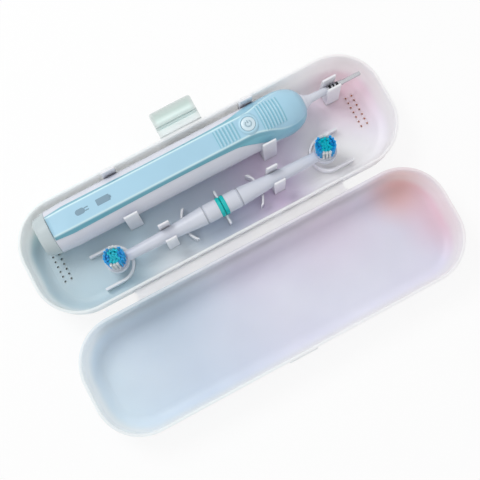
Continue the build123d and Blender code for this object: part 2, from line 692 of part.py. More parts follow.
def make_handle_housing():
    """The white tube of the handle, let in where the grip covers it, open at the end cap."""
    with BuildPart() as housing:
        add(handle_form(0))
        add(grip_region(), mode=Mode.SUBTRACT)
        add(handle_form(GRIP_THICKNESS))
        with Locations(Location((SEAM_X, HANDLE_Y, HANDLE_Z), (0, 90, 0))):
            Cylinder(
                CAVITY_RADIUS, CAVITY_END_X - SEAM_X, mode=Mode.SUBTRACT,
                align=(Align.CENTER, Align.CENTER, Align.MIN),
            )
            Cylinder(
                SPIGOT_RADIUS, 2 * BODY_LENGTH, mode=Mode.SUBTRACT,
                align=(Align.CENTER, Align.CENTER, Align.MIN),
            )
        with Locations((BUTTON_X, HANDLE_Y, HANDLE_Z)):
            Cylinder(
                BUTTON_STEM_RADIUS + BUTTON_CLEARANCE, 2 * HANDLE_RADIUS, mode=Mode.SUBTRACT,
                align=(Align.CENTER, Align.CENTER, Align.MIN),
            )
    return housing


def turned(points, axis_y=None, axis_z=None):
    """A solid turned about the X direction from (x, radius) points, closed on its own axis."""
    centre_y = HANDLE_Y if axis_y is None else axis_y
    centre_z = HANDLE_Z if axis_z is None else axis_z
    with BuildPart() as solid:
        with BuildSketch(Plane.XY.offset(centre_z)):
            with BuildLine():
                Polyline(*[(x, centre_y + radius) for x, radius in points], close=True)
            make_face()
        revolve(axis=Axis((0, centre_y, centre_z), (1, 0, 0)))
    return solid


def make_end_cap():
    """The white cap that closes the handle's foot, with a spigot grooved for its seal."""
    seam_radius = HANDLE_RADIUS - SEAM_INSET
    spigot = CAVITY_RADIUS - SHAFT_CLEARANCE
    spigot_end = SEAM_X + CAP_SPIGOT_LENGTH
    end_radius = HANDLE_RADIUS - CAP_END_INSET
    groove_start = SEAM_X + SEAL_GROOVE_AT
    groove_end = groove_start + SEAL_GROOVE_WIDTH
    return turned([
        (CAP_END_X, 0),
        (CAP_END_X, end_radius),
        (CAP_END_X + CAP_EDGE_LENGTH, end_radius + CAP_EDGE_RISE),
        (SEAM_X - SEAM_GROOVE, seam_radius),
        (SEAM_X, seam_radius - SEAM_GROOVE),
        (SEAM_X, spigot),
        (groove_start, spigot),
        (groove_start, spigot - SEAL_GROOVE_DEPTH),
        (groove_end, spigot - SEAL_GROOVE_DEPTH),
        (groove_end, spigot),
        (spigot_end, spigot),
        (spigot_end, 0),
    ])


def make_end_cap_seal():
    spigot = CAVITY_RADIUS - SHAFT_CLEARANCE
    start = SEAM_X + SEAL_GROOVE_AT + SEAL_PLAY
    end = start + SEAL_GROOVE_WIDTH - 2 * SEAL_PLAY
    return turned([
        (start, spigot - SEAL_GROOVE_DEPTH),
        (end, spigot - SEAL_GROOVE_DEPTH),
        (end, spigot - SEAL_SHOULDER),
        ((start + end) / 2, CAVITY_RADIUS),
        (start, spigot - SEAL_SHOULDER),
    ])


def make_snout():
    """The white nose the drive shaft comes out of, with a spigot that fills the housing's mouth."""
    bore = SHAFT_RADIUS + SHAFT_CLEARANCE
    spigot_start = CAVITY_END_X + SEAL_LENGTH + 2 * INNER_GAP
    return turned([
        (spigot_start, bore),
        (spigot_start, SPIGOT_RADIUS),
        (SHOULDER_X, SPIGOT_RADIUS),
        (SHOULDER_X, SNOUT_CONE_RADIUS),
        (SHOULDER_X + SNOUT_CONE_LENGTH / 4, (7 * SNOUT_CONE_RADIUS + SNOUT_RADIUS) / 8),
        (SHOULDER_X + SNOUT_CONE_LENGTH / 2, (SNOUT_CONE_RADIUS + SNOUT_RADIUS) / 2),
        (SHOULDER_X + SNOUT_CONE_LENGTH, (SNOUT_CONE_RADIUS + 9 * SNOUT_RADIUS) / 10),
        (SHOULDER_X + 2 * SNOUT_CONE_LENGTH, SNOUT_RADIUS),
        (SNOUT_END_X, SNOUT_RADIUS),
        (SNOUT_END_X, bore),
    ])


def make_drive_shaft():
    """The steel shaft: a round neck, a collar and a thinner tip with one flat."""
    collar_radius = (SHAFT_RADIUS + SHAFT_TIP_RADIUS) / 2
    shaft = turned([
        (ROCKER_X, 0),
        (ROCKER_X, SHAFT_RADIUS),
        (COLLAR_X - SHAFT_BEVEL, SHAFT_RADIUS),
        (COLLAR_X, SHAFT_RADIUS - SHAFT_BEVEL),
        (COLLAR_X, collar_radius),
        (TIP_X, collar_radius),
        (TIP_X, SHAFT_TIP_RADIUS),
        (SHAFT_END_X - SHAFT_BEVEL, SHAFT_TIP_RADIUS),
        (SHAFT_END_X, SHAFT_TIP_RADIUS - SHAFT_BEVEL),
        (SHAFT_END_X, 0),
    ])
    with BuildPart() as flatted:
        add(shaft)
        with Locations((SHAFT_END_X, HANDLE_Y, HANDLE_Z + SHAFT_TIP_RADIUS - SHAFT_FLAT_DEPTH)):
            Box(
                2 * SHAFT_FLAT_LENGTH, 4 * SHAFT_TIP_RADIUS, SHAFT_TIP_RADIUS,
                align=(Align.CENTER, Align.CENTER, Align.MIN), mode=Mode.SUBTRACT,
            )
    return flatted


def make_rocker():
    """The fork on the shaft's inner end. Its slot takes the crank pin, with room for the swing."""
    swing = math.sin(math.radians(SHAFT_SWING))
    pin_drop = HANDLE_Z - CRANK_PIN_Z
    slot_half = pin_drop * swing + CRANK_PIN_RADIUS + ROCKER_PLAY
    hub_radius = SHAFT_RADIUS + ROCKER_WALL
    with BuildPart() as rocker:
        with BuildSketch(Plane.YZ.offset(ROCKER_X)):
            with Locations((HANDLE_Y, HANDLE_Z - pin_drop)):
                Rectangle(2 * (slot_half + ROCKER_ARM), 2 * (pin_drop - SHAFT_RADIUS / 2))
            with Locations((HANDLE_Y, HANDLE_Z - pin_drop - hub_radius)):
                Rectangle(2 * slot_half, 2 * pin_drop, mode=Mode.SUBTRACT)
            with Locations((HANDLE_Y, HANDLE_Z)):
                Circle(hub_radius)
                Circle(SHAFT_RADIUS, mode=Mode.SUBTRACT)
        extrude(amount=ROCKER_LENGTH)
    return rocker


def make_power_button():
    """The push button: a round cap with a raised ring mark, and a stem down to the switch."""
    with BuildPart() as button:
        with BuildSketch(Plane.XY.offset(BUTTON_FOOT_Z)):
            with Locations((BUTTON_X, HANDLE_Y)):
                Circle(BUTTON_RADIUS)
        extrude(amount=BUTTON_CAP_HEIGHT)
        fillet(button.faces().sort_by(Axis.Z)[-1].edges(), BUTTON_EDGE_RADIUS)
        with BuildSketch(Plane.XY.offset(BUTTON_TOP_Z)):
            with Locations((BUTTON_X, HANDLE_Y)):
                Circle(MARK_RADIUS)
                Circle(MARK_RADIUS - MARK_LINE, mode=Mode.SUBTRACT)
        extrude(amount=MARK_HEIGHT)
        with BuildSketch(Plane.XY.offset(STEM_FOOT_Z)):
            with Locations((BUTTON_X, HANDLE_Y)):
                Circle(BUTTON_STEM_RADIUS)
        extrude(amount=BUTTON_FOOT_Z - STEM_FOOT_Z)
    return button


# ================================================================ inside the handle
def x_cylinder(start, length, radius, centre_z, bore=0.0):
    """A plain round piece along the handle, solid or bored through."""
    with BuildPart() as piece:
        with BuildSketch(Plane.YZ.offset(start)):
            with Locations((HANDLE_Y, centre_z)):
                Circle(radius)
                if bore:
                    Circle(bore, mode=Mode.SUBTRACT)
        extrude(amount=length)
    return piece


def make_chassis():
    """The trough that carries the cell, the motor and the circuit board inside the housing."""
    with BuildPart() as chassis:
        with BuildSketch(Plane.YZ.offset(COIL_X)):
            with Locations((HANDLE_Y, HANDLE_Z)):
                Circle(CHASSIS_RADIUS)
                Circle(CHASSIS_BORE, mode=Mode.SUBTRACT)
            with Locations((HANDLE_Y, BOARD_Z + CHASSIS_RADIUS)):
                Rectangle(3 * CHASSIS_RADIUS, 2 * CHASSIS_RADIUS, mode=Mode.SUBTRACT)
        extrude(amount=CAVITY_END_X - 2 * INNER_GAP - COIL_X)
    return chassis


def make_circuit_board():
    with BuildPart() as board:
        with BuildSketch(Plane.XY.offset(BOARD_Z)):
            with Locations(((BOARD_START_X + BOARD_END_X) / 2, HANDLE_Y)):
                Rectangle(BOARD_END_X - BOARD_START_X, 2 * BOARD_HALF_WIDTH)
        extrude(amount=BOARD_THICKNESS)
    return board


def on_board(places, width, depth, height):
    """Small parts standing on the circuit board."""
    with BuildPart() as group:
        with BuildSketch(Plane.XY.offset(BOARD_TOP)):
            with Locations(*[(x, HANDLE_Y) for x in places]):
                Rectangle(width, depth)
        extrude(amount=height)
    return group


def make_cell_contacts():
    with BuildPart() as contacts:
        for start in (CELL_END_X, CELL_END_X - CELL_LENGTH - CONTACT_THICKNESS):
            with BuildSketch(Plane.YZ.offset(start)):
                with Locations((HANDLE_Y, CELL_Z)):
                    Circle(CELL_RADIUS * 0.7)
            extrude(amount=CONTACT_THICKNESS)
    return contacts


def make_motor_pinion():
    """The pinion on the motor's shaft."""
    return x_cylinder(MOTOR_END_X, PINION_LENGTH, PINION_RADIUS, MOTOR_Z)


def make_crank_wheel():
    """The wheel the pinion drives, with the crank pin that rocks the fork."""
    wheel_x = MOTOR_END_X + CRANK_START
    with BuildPart() as wheel:
        add(x_cylinder(wheel_x, CRANK_THICKNESS, CRANK_RADIUS, CRANK_Z))
        add(x_cylinder(wheel_x + CRANK_THICKNESS, CRANK_PIN_LENGTH, CRANK_PIN_RADIUS, CRANK_PIN_Z))
    return wheel


# ================================================================ brush heads
def head_radius(distance):
    """Radius of a brush head at a distance from the middle of the case."""
    if distance <= SLEEVE_LENGTH:
        return HEAD_RADIUS
    if distance <= TAPER_END:
        share = (distance - SLEEVE_LENGTH) / TAPER_LENGTH
        return HEAD_RADIUS + share * (TAPER_END_RADIUS - HEAD_RADIUS)
    share = (distance - TAPER_END) / NECK_LENGTH
    return TAPER_END_RADIUS + share * (NECK_END_RADIUS - TAPER_END_RADIUS)


def make_head_body(side):
    """A brush head's hollow body: sleeve, taper, neck and the round cup that holds the disc."""
    bore = STEM_RADIUS + STEM_CLEARANCE
    ring_seat = RING_RADIUS - RING_DEPTH
    neck_root_x = DISC_X - CUP_RADIUS / 2
    outline = [
        (HEAD_GAP / 2, bore),
        (HEAD_GAP / 2, ring_seat),
        (RING_END, ring_seat),
        (RING_END, HEAD_RADIUS),
        (SLEEVE_LENGTH - 2 * SLEEVE_GROOVE, HEAD_RADIUS),
        (SLEEVE_LENGTH - SLEEVE_GROOVE, HEAD_RADIUS - SLEEVE_GROOVE),
        (SLEEVE_LENGTH, HEAD_RADIUS),
        (TAPER_END, TAPER_END_RADIUS),
        (NECK_END, NECK_END_RADIUS),
        (neck_root_x, head_radius(neck_root_x)),
        (neck_root_x, 0),
        (NECK_END + STEM_END_ROOM, 0),
        (NECK_END + STEM_END_ROOM, bore),
    ]
    with BuildPart() as body:
        with BuildSketch(Plane.XY.offset(CUP_FLOOR_Z)):
            with Locations((side * DISC_X, HEAD_Y)):
                Circle(CUP_RADIUS)
        extrude(amount=CUP_TOP_Z - CUP_FLOOR_Z)
        fillet(body.faces().sort_by(Axis.Z)[0].edges(), CUP_FLOOR * 0.4)
        add(turned([(side * x, r) for x, r in outline], HEAD_Y, HEAD_Z))
        with BuildSketch(Plane.XY.offset(HEAD_Z)):
            with Locations((side * DISC_X, HEAD_Y)):
                Circle(CUP_RADIUS - CUP_WALL)
        extrude(amount=2 * CUP_RADIUS, mode=Mode.SUBTRACT)
        with BuildSketch(Plane.XY.offset(PIN_FOOT_Z)):
            with Locations((side * DISC_X, HEAD_Y)):
                Circle(PIN_RADIUS)
        extrude(amount=CUP_RADIUS, mode=Mode.SUBTRACT)
    return body


def make_id_ring(side):
    """The coloured ring let into the open end of a brush head."""
    outline = [
        (HEAD_GAP / 2, RING_RADIUS - RING_DEPTH),
        (HEAD_GAP / 2, RING_RADIUS - RING_BEVEL),
        (HEAD_GAP / 2 + RING_BEVEL, RING_RADIUS),
        (RING_END - RING_BEVEL, RING_RADIUS),
        (RING_END, RING_RADIUS - RING_BEVEL),
        (RING_END, RING_RADIUS - RING_DEPTH),
    ]
    return turned([(side * x, r) for x, r in outline], HEAD_Y, HEAD_Z)


def make_drive_stem(side):
    """The thin rod inside a brush head that carries the shaft's swing to the disc."""
    outline = [(STEM_START, 0), (STEM_START, STEM_RADIUS), (NECK_END, STEM_RADIUS), (NECK_END, 0)]
    return turned([(side * x, r) for x, r in outline], HEAD_Y, HEAD_Z)


def disc_cylinder(side, start, height, radius, bore=0.0):
    """A round piece on a brush head's disc axis."""
    with BuildPart() as piece:
        with BuildSketch(Plane.XY.offset(start)):
            with Locations((side * DISC_X, HEAD_Y)):
                Circle(radius)
                if bore:
                    Circle(bore, mode=Mode.SUBTRACT)
        extrude(amount=height)
    return piece


def bristle_places(inner, outer):
    """Evenly spaced strand places between two radii about the disc's axis."""
    steps = math.ceil(outer / BRISTLE_PITCH)
    places = []
    for row in range(-steps, steps + 1):
        for column in range(-steps, steps + 1):
            across = (column + 0.5 * (row % 2)) * BRISTLE_PITCH
            along = row * BRISTLE_PITCH
            if inner <= math.hypot(across, along) < outer:
                places.append((across, along))
    return places


def rolled(piece):
    """A brush head's piece, turned about the head's own length as the head lies in its clip."""
    with BuildPart() as turned_piece:
        add(piece.part.rotate(Axis((0, HEAD_Y, HEAD_Z), (1, 0, 0)), -HEAD_ROLL))
    return turned_piece


def make_bristles(side):
    """The strands of one brush head, standing on a thin slice of the disc they are set in."""
    tufts = []
    for inner, outer, length in (
        (0.0, CENTRE_TUFT_RADIUS, CENTRE_BRISTLE_LENGTH),
        (CENTRE_TUFT_RADIUS, DISC_RADIUS - BRISTLE_MARGIN, BRISTLE_LENGTH),
    ):
        places = bristle_places(inner, outer)
        print(f"strands between radius {inner} and {outer:.2f}: {len(places)}")
        with BuildPart() as tuft:
            with BuildSketch(Plane.XY.offset(DISC_TOP_Z)):
                with Locations(*[
                    (side * DISC_X + across, HEAD_Y + along) for across, along in places
                ]):
                    Rectangle(BRISTLE_SIDE, BRISTLE_SIDE)
            extrude(amount=BRISTLE_BASE + length)
        tufts.append(tuft.part)
    with BuildPart() as bristles:
        add(disc_cylinder(side, DISC_TOP_Z, BRISTLE_BASE, DISC_RADIUS))
        add(tufts)
    return bristles


# ================================================================ write every piece
os.makedirs("parts", exist_ok=True)

save(make_base_tray(), "base_tray")
save(make_lid(), "lid")
save(make_hinge_strip(), "hinge_strip")
save(make_latch_flap(), "latch_flap")

handle_seat = (HANDLE_Y, HANDLE_Z, HANDLE_RADIUS, HANDLE_ARM_TOP, ARM_FOOT)
save(u_clip(SEAM_X + LEFT_CLIP_FROM_SEAM, CLIP_LENGTH, *handle_seat), "handle_clip_left")
save(u_clip(SHOULDER_X - RIGHT_CLIP_FROM_SHOULDER, CLIP_LENGTH, *handle_seat), "handle_clip_right")
save(
    u_clip(
        SNOUT_END_X - SHAFT_CLIP_FROM_SNOUT_END, CLIP_LENGTH, HANDLE_Y, HANDLE_Z, SNOUT_RADIUS,
        CASE_DEPTH + SHAFT_ARM_TOP, HEAD_ARM_FOOT,
    ),
    "shaft_clip",
)
for side, hand in ((-1, "left"), (1, "right")):
    clip_start = HEAD_CLIP_AT if side > 0 else -HEAD_CLIP_AT - HEAD_CLIP_LENGTH
    clip = u_clip(
        clip_start, HEAD_CLIP_LENGTH, HEAD_Y, HEAD_Z, head_radius(HEAD_CLIP_AT),
        CASE_DEPTH + HEAD_ARM_TOP, HEAD_ARM_FOOT,
    )
    save(clip, f"head_clip_{hand}")
    save(saddle_rib(side), f"saddle_rib_{hand}")
    save(guard_rib(side), f"guard_rib_{hand}")
    save(rolled(make_head_body(side)), f"{hand}_head_body")
    save(make_id_ring(side), f"{hand}_colour_ring")
    save(make_drive_stem(side), f"{hand}_drive_stem")
    disc = disc_cylinder(
        side, DISC_FOOT_Z, DISC_THICKNESS, DISC_RADIUS, PIN_RADIUS + PIN_CLEARANCE
    )
    save(rolled(disc), f"{hand}_brush_disc")
    pin = disc_cylinder(side, PIN_FOOT_Z, DISC_TOP_Z - PIN_BELOW_TOP - PIN_FOOT_Z, PIN_RADIUS)
    save(rolled(pin), f"{hand}_disc_pin")
    save(rolled(make_bristles(side)), f"{hand}_bristles")
save(middle_rib(), "saddle_rib_middle")

save(make_handle_housing(), "handle_housing")
save(make_front_grip(), "front_grip")
save(make_end_cap(), "end_cap")
save(make_end_cap_seal(), "end_cap_seal")
save(make_snout(), "snout")
save(make_drive_shaft(), "drive_shaft")
save(make_rocker(), "rocker")
save(make_power_button(), "power_button")
with BuildPart() as charge_lens:
    extrude(charge_window.sketch, amount=-WINDOW_DEPTH)
save(charge_lens, "charge_light_window")
with BuildPart() as cell_lens:
    extrude(cell_window.sketch, amount=-WINDOW_DEPTH)
save(cell_lens, "cell_light_window")

save(make_chassis(), "chassis")
save(make_circuit_board(), "circuit_board")
save(on_board([BUTTON_X], SWITCH_SIDE, SWITCH_SIDE, SWITCH_HEIGHT), "push_switch")
save(
    on_board(
        [SEAM_X + CHARGE_WINDOW_FROM_SEAM, SEAM_X + CELL_WINDOW_FROM_SEAM], *LED_SIZE
    ),
    "indicator_leds",
)
save(x_cylinder(CELL_END_X - CELL_LENGTH, CELL_LENGTH, CELL_RADIUS, CELL_Z), "rechargeable_cell")
save(make_cell_contacts(), "cell_contacts")
save(x_cylinder(MOTOR_END_X - MOTOR_LENGTH, MOTOR_LENGTH, MOTOR_RADIUS, MOTOR_Z), "motor")
save(make_motor_pinion(), "motor_pinion")
save(make_crank_wheel(), "crank_wheel")
save(
    x_cylinder(
        BEARING_X, BEARING_LENGTH, CHASSIS_BORE, HANDLE_Z, SHAFT_RADIUS + SHAFT_CLEARANCE
    ),
    "shaft_bearing",
)
save(
    x_cylinder(
        CAVITY_END_X + INNER_GAP, SEAL_LENGTH, SEAL_RADIUS, HANDLE_Z, SHAFT_RADIUS + SHAFT_CLEARANCE
    ),
    "shaft_seal",
)
save(x_cylinder(COIL_X, COIL_LENGTH, CHASSIS_BORE, HANDLE_Z, CHASSIS_BORE / 2), "charging_coil")
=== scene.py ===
import math
import random

import bmesh
import bpy
from mathutils import Matrix, Vector


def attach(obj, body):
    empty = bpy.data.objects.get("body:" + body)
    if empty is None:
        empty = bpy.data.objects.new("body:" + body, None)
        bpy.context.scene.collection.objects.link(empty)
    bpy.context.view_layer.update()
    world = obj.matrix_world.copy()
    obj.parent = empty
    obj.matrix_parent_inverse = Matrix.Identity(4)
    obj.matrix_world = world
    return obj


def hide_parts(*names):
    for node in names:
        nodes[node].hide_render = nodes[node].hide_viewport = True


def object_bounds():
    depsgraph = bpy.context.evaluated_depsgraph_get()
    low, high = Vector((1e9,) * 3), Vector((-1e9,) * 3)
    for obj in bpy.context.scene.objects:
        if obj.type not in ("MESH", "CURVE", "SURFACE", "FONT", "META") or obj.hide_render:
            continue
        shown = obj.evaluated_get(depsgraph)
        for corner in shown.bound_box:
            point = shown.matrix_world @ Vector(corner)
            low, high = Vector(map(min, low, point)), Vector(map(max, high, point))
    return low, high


MM = 0.001

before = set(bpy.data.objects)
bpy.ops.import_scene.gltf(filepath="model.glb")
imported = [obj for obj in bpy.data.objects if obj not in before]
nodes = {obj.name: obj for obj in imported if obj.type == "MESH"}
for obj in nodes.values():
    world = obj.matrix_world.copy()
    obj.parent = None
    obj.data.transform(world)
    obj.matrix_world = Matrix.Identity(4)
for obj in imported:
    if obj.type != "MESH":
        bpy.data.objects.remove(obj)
cad_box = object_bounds()

# ---------------------------------------------------------------- camera, floor and light
# The case is seen from almost straight above, turned so that its right end points up. It
# stands on a plain white floor, lit by a soft sky and one large lamp from beyond the latch.
CAMERA_PLACE = Vector((-35.2, -104.5, 504.65)) * MM
CAMERA_TURN = math.radians(-26.279)
CAMERA_HEIGHT_ANGLE = math.radians(80.922)
CAMERA_ROLL = math.radians(-1.918)
CAMERA_LENS = 70.93
CAMERA_NEAREST = 0.01
WHITE = (1.0, 1.0, 1.0, 1.0)
SKY_STRENGTH = 0.73
LAMP_DIRECTION = Vector((-0.30, 0.54, 0.79))
LAMP_DISTANCE = 0.9
LAMP_SIZE = 0.42
LAMP_POWER = 2.8
FLOOR_SIZE = 4.0
FLOOR_COLOUR = (0.9, 0.9, 0.9, 1.0)
FLOOR_ROUGHNESS = 0.9
FLOOR_GLOW = 0.86
SHADED_HALF_LENGTH = 0.095
SHADED_HALF_WIDTH = 0.013

ahead = Vector((
    -math.sin(CAMERA_TURN) * math.cos(CAMERA_HEIGHT_ANGLE),
    math.cos(CAMERA_TURN) * math.cos(CAMERA_HEIGHT_ANGLE),
    -math.sin(CAMERA_HEIGHT_ANGLE),
))
level_right = Vector((math.cos(CAMERA_TURN), math.sin(CAMERA_TURN), 0.0))
level_up = level_right.cross(ahead)
right = level_right * math.cos(CAMERA_ROLL) + level_up * math.sin(CAMERA_ROLL)
up = level_up * math.cos(CAMERA_ROLL) - level_right * math.sin(CAMERA_ROLL)

camera_data = bpy.data.cameras.new("camera")
camera_data.lens = CAMERA_LENS
camera_data.clip_start = CAMERA_NEAREST
camera = bpy.data.objects.new("camera", camera_data)
bpy.context.scene.collection.objects.link(camera)
camera.matrix_world = Matrix.Translation(CAMERA_PLACE) @ Matrix((right, up, -ahead)).transposed().to_4x4()
bpy.context.scene.camera = camera
bpy.context.scene.view_settings.view_transform = "Standard"

lamp_data = bpy.data.lights.new("lamp", "AREA")
lamp_data.shape = "DISK"
lamp_data.size = LAMP_SIZE
lamp_data.energy = LAMP_POWER
lamp = bpy.data.objects.new("lamp", lamp_data)
bpy.context.scene.collection.objects.link(lamp)
case_middle = (cad_box[0] + cad_box[1]) / 2
lamp.location = case_middle + LAMP_DIRECTION.normalized() * LAMP_DISTANCE
lamp.rotation_euler = LAMP_DIRECTION.to_track_quat("Z", "Y").to_euler()


def set_socket(tree, socket, value):
    """Links a node's output to a socket, or sets the socket to a plain value."""
    if isinstance(value, bpy.types.NodeSocket):
        tree.links.new(value, socket)
    else:
        socket.default_value = value


def number_from(tree, operation, *values):
    """The result of a calculation on numbers, each a plain one or another node's output."""
    node = tree.nodes.new("ShaderNodeMath")
    node.operation = operation
    for socket, value in zip(node.inputs, values):
        set_socket(tree, socket, value)
    return node.outputs["Value"]


def place_along(tree, place, axis):
    """How far along an axis a place lies."""
    split = tree.nodes.new("ShaderNodeSeparateXYZ")
    tree.links.new(place, split.inputs["Vector"])
    return split.outputs[axis]


def reach_test(tree, operation, place, axis, half):
    """1 where a place's distance from the middle, along an axis, passes a comparison with a half."""
    reach = number_from(tree, "ABSOLUTE", place_along(tree, place, axis))
    return number_from(tree, operation, reach, half)


def seen_directly(tree):
    """1 for rays from the camera, from gloss and through clear pieces, which see the backdrop white."""
    rays = tree.nodes.new("ShaderNodeLightPath").outputs
    mirrored = number_from(tree, "MAXIMUM", rays["Is Camera Ray"], rays["Is Glossy Ray"])
    return number_from(tree, "MAXIMUM", mirrored, rays["Is Transmission Ray"])


def either_shader(tree, share, first, second):
    """Two shaders in one, the second with the given share."""
    choice = tree.nodes.new("ShaderNodeMixShader")
    for socket, source in zip(choice.inputs, (share, first, second)):
        tree.links.new(source, socket)
    return choice.outputs["Shader"]


world = bpy.data.worlds.new("sky")
world.use_nodes = True
bpy.context.scene.world = world
sky = world.node_tree
sky_light = sky.nodes["Background"]
sky_light.inputs["Color"].default_value = WHITE
sky_light.inputs["Strength"].default_value = SKY_STRENGTH
white_backdrop = sky.nodes.new("ShaderNodeBackground")
white_backdrop.inputs["Color"].default_value = WHITE
sky_shader = either_shader(
    sky, seen_directly(sky), sky_light.outputs["Background"], white_backdrop.outputs["Background"]
)
sky.links.new(sky_shader, sky.nodes["World Output"].inputs["Surface"])


def new_piece(name, shape):
    """Makes an object from a finished bmesh."""
    mesh = bpy.data.meshes.new(name)
    shape.to_mesh(mesh)
    shape.free()
    piece = bpy.data.objects.new(name, mesh)
    bpy.context.scene.collection.objects.link(piece)
    return piece


floor_shape = bmesh.new()
bmesh.ops.create_grid(floor_shape, x_segments=1, y_segments=1, size=FLOOR_SIZE / 2)
bmesh.ops.translate(floor_shape, verts=floor_shape.verts, vec=(0.0, 0.0, cad_box[0].z))
stage_floor = new_piece("stage_floor", floor_shape)
floor_finish = bpy.data.materials.new("floor_white")
floor_finish.use_nodes = True
floor_tree = floor_finish.node_tree
floor_paint = floor_tree.nodes["Principled BSDF"]
floor_paint.inputs["Base Color"].default_value = FLOOR_COLOUR
floor_paint.inputs["Roughness"].default_value = FLOOR_ROUGHNESS
floor_white = floor_tree.nodes.new("ShaderNodeEmission")
floor_place = floor_tree.nodes.new("ShaderNodeTexCoord").outputs["Object"]
# no light reaches the floor under the tray's middle, which shows through the vent holes
open_floor = number_from(
    floor_tree, "MAXIMUM",
    reach_test(floor_tree, "GREATER_THAN", floor_place, "X", SHADED_HALF_LENGTH),
    reach_test(floor_tree, "GREATER_THAN", floor_place, "Y", SHADED_HALF_WIDTH),
)
floor_glow = number_from(floor_tree, "MULTIPLY", open_floor, FLOOR_GLOW)
floor_shader = either_shader(
    floor_tree, number_from(floor_tree, "MULTIPLY", seen_directly(floor_tree), floor_glow),
    floor_paint.outputs["BSDF"], floor_white.outputs["Emission"],
)
floor_tree.links.new(floor_shader, floor_tree.nodes["Material Output"].inputs["Surface"])
stage_floor.data.materials.append(floor_finish)

# ---------------------------------------------------------------- tray and lid
# Two halves, the strip between them and the latch flap, of frosted polypropylene moulded in
# one shot. The milky plastic lets some light through, most of all up its walls. Its colour runs
# from grey green at the cap end to pink at the far end, partly the plastic's tint and partly painted
# coloured light and shade.
# the plastic's tint along the case, as (x, colour), with painted coloured light and painted light and shade
# in it
TRAY_TINT_AND_PAINTED_LIGHT = (
    (-0.106, (0.530, 0.635, 0.685)),
    (-0.050, (0.570, 0.715, 0.800)),
    (0.000, (0.570, 0.615, 0.730)),
    (0.030, (0.700, 0.600, 0.760)),
    (0.060, (0.850, 0.830, 0.950)),
    (0.106, (0.840, 0.800, 0.890)),
)
LID_TINT_AND_PAINTED_LIGHT = (
    (-0.106, (0.690, 0.800, 0.915)),
    (-0.050, (0.635, 0.710, 0.840)),
    (0.000, (0.735, 0.745, 0.880)),
    (0.050, (0.745, 0.755, 0.890)),
    (0.090, (0.720, 0.720, 0.850)),
    (0.106, (0.700, 0.620, 0.700)),
)
STRIP_TINTS = (
    (-0.106, (0.950, 0.970, 1.000)),
    (0.106, (0.980, 0.960, 1.000)),
)
STRIP_CLEARNESS = 0.9
# soft patches of painted light, shade and coloured reflection: a middle, a radius, a colour and how strong
# it is
TRAY_PAINTED_LIGHT_PATCHES = (
    ((0.090, 0.014, 0.004), 0.034, (0.880, 0.540, 0.600), 0.60),
    ((0.070, -0.026, 0.004), 0.034, (1.000, 1.000, 1.000), 0.90),
    ((-0.035, -0.028, 0.006), 0.030, (0.960, 0.980, 1.000), 0.60),
)
LID_PAINTED_LIGHT_PATCHES = (
    ((0.088, -0.049, 0.010), 0.025, (0.800, 0.380, 0.280), 0.80),
    ((0.102, -0.070, 0.010), 0.030, (0.800, 0.500, 0.560), 0.65),
    ((0.045, -0.040, 0.008), 0.050, (0.720, 0.540, 0.640), 0.45),
    ((0.000, -0.040, 0.010), 0.036, (0.620, 0.520, 0.640), 0.40),
    ((-0.055, -0.040, 0.010), 0.044, (0.440, 0.540, 0.620), 0.60),
)
# painted light that stands in for the light coming through the walls, as (x, colour)
WALL_LIGHT_TINTS = (
    (-0.106, (0.840, 0.990, 0.990)),
    (-0.030, (0.880, 0.990, 0.990)),
    (0.050, (0.960, 0.960, 0.980)),
    (0.106, (0.970, 0.950, 0.980)),
)
# heights and places between which the painted light on the walls, at the hinge side and along the latch
# side starts and ends
WALL_LIGHT_FADE = (0.0020, 0.0140)
WALL_LIGHT_SHARE = 0.88
HINGE_LIGHT_FADE = (-0.064, -0.044)
LATCH_LIGHT_FADE = (0.0120, 0.0260)
TRAY_HINGE_LIGHT_SHARE = 1.0
TRAY_LATCH_LIGHT_SHARE = 0.95
LID_HINGE_LIGHT_SHARE = 0.1
# the painted shade in the vent holes, teal at the cap end and brown at the far end
VENT_SHADE_TINTS = (
    (-0.106, (0.010, 0.070, 0.065)),
    (-0.020, (0.010, 0.070, 0.065)),
    (0.020, (0.800, 0.280, 0.100)),
    (0.106, (0.800, 0.280, 0.100)),
)
# the two columns of holes at one end, with the radius of the painted shade on each hole's edge
VENT_MIDDLE = Vector((0.090725, 0.0007, 0.0))
VENT_SPACING = Vector((0.00365, 0.00295, 1.0))
VENT_HALF_LENGTH = 0.0036
VENT_HALF_WIDTH = 0.0103
VENT_SHADE_EDGE = 0.00055
# the flap's grey green across its length, as (y, colour), with bands of painted shade and painted highlight
# for its root web and ridge
FLAP_TINT_AND_PAINTED_RELIEF = (
    (0.0333, (0.720, 0.800, 0.810)),
    (0.0365, (0.680, 0.780, 0.770)),
    (0.0388, (0.510, 0.600, 0.585)),
    (0.0412, (0.760, 0.860, 0.840)),
    (0.0436, (0.570, 0.670, 0.640)),
    (0.0475, (0.580, 0.620, 0.610)),
)
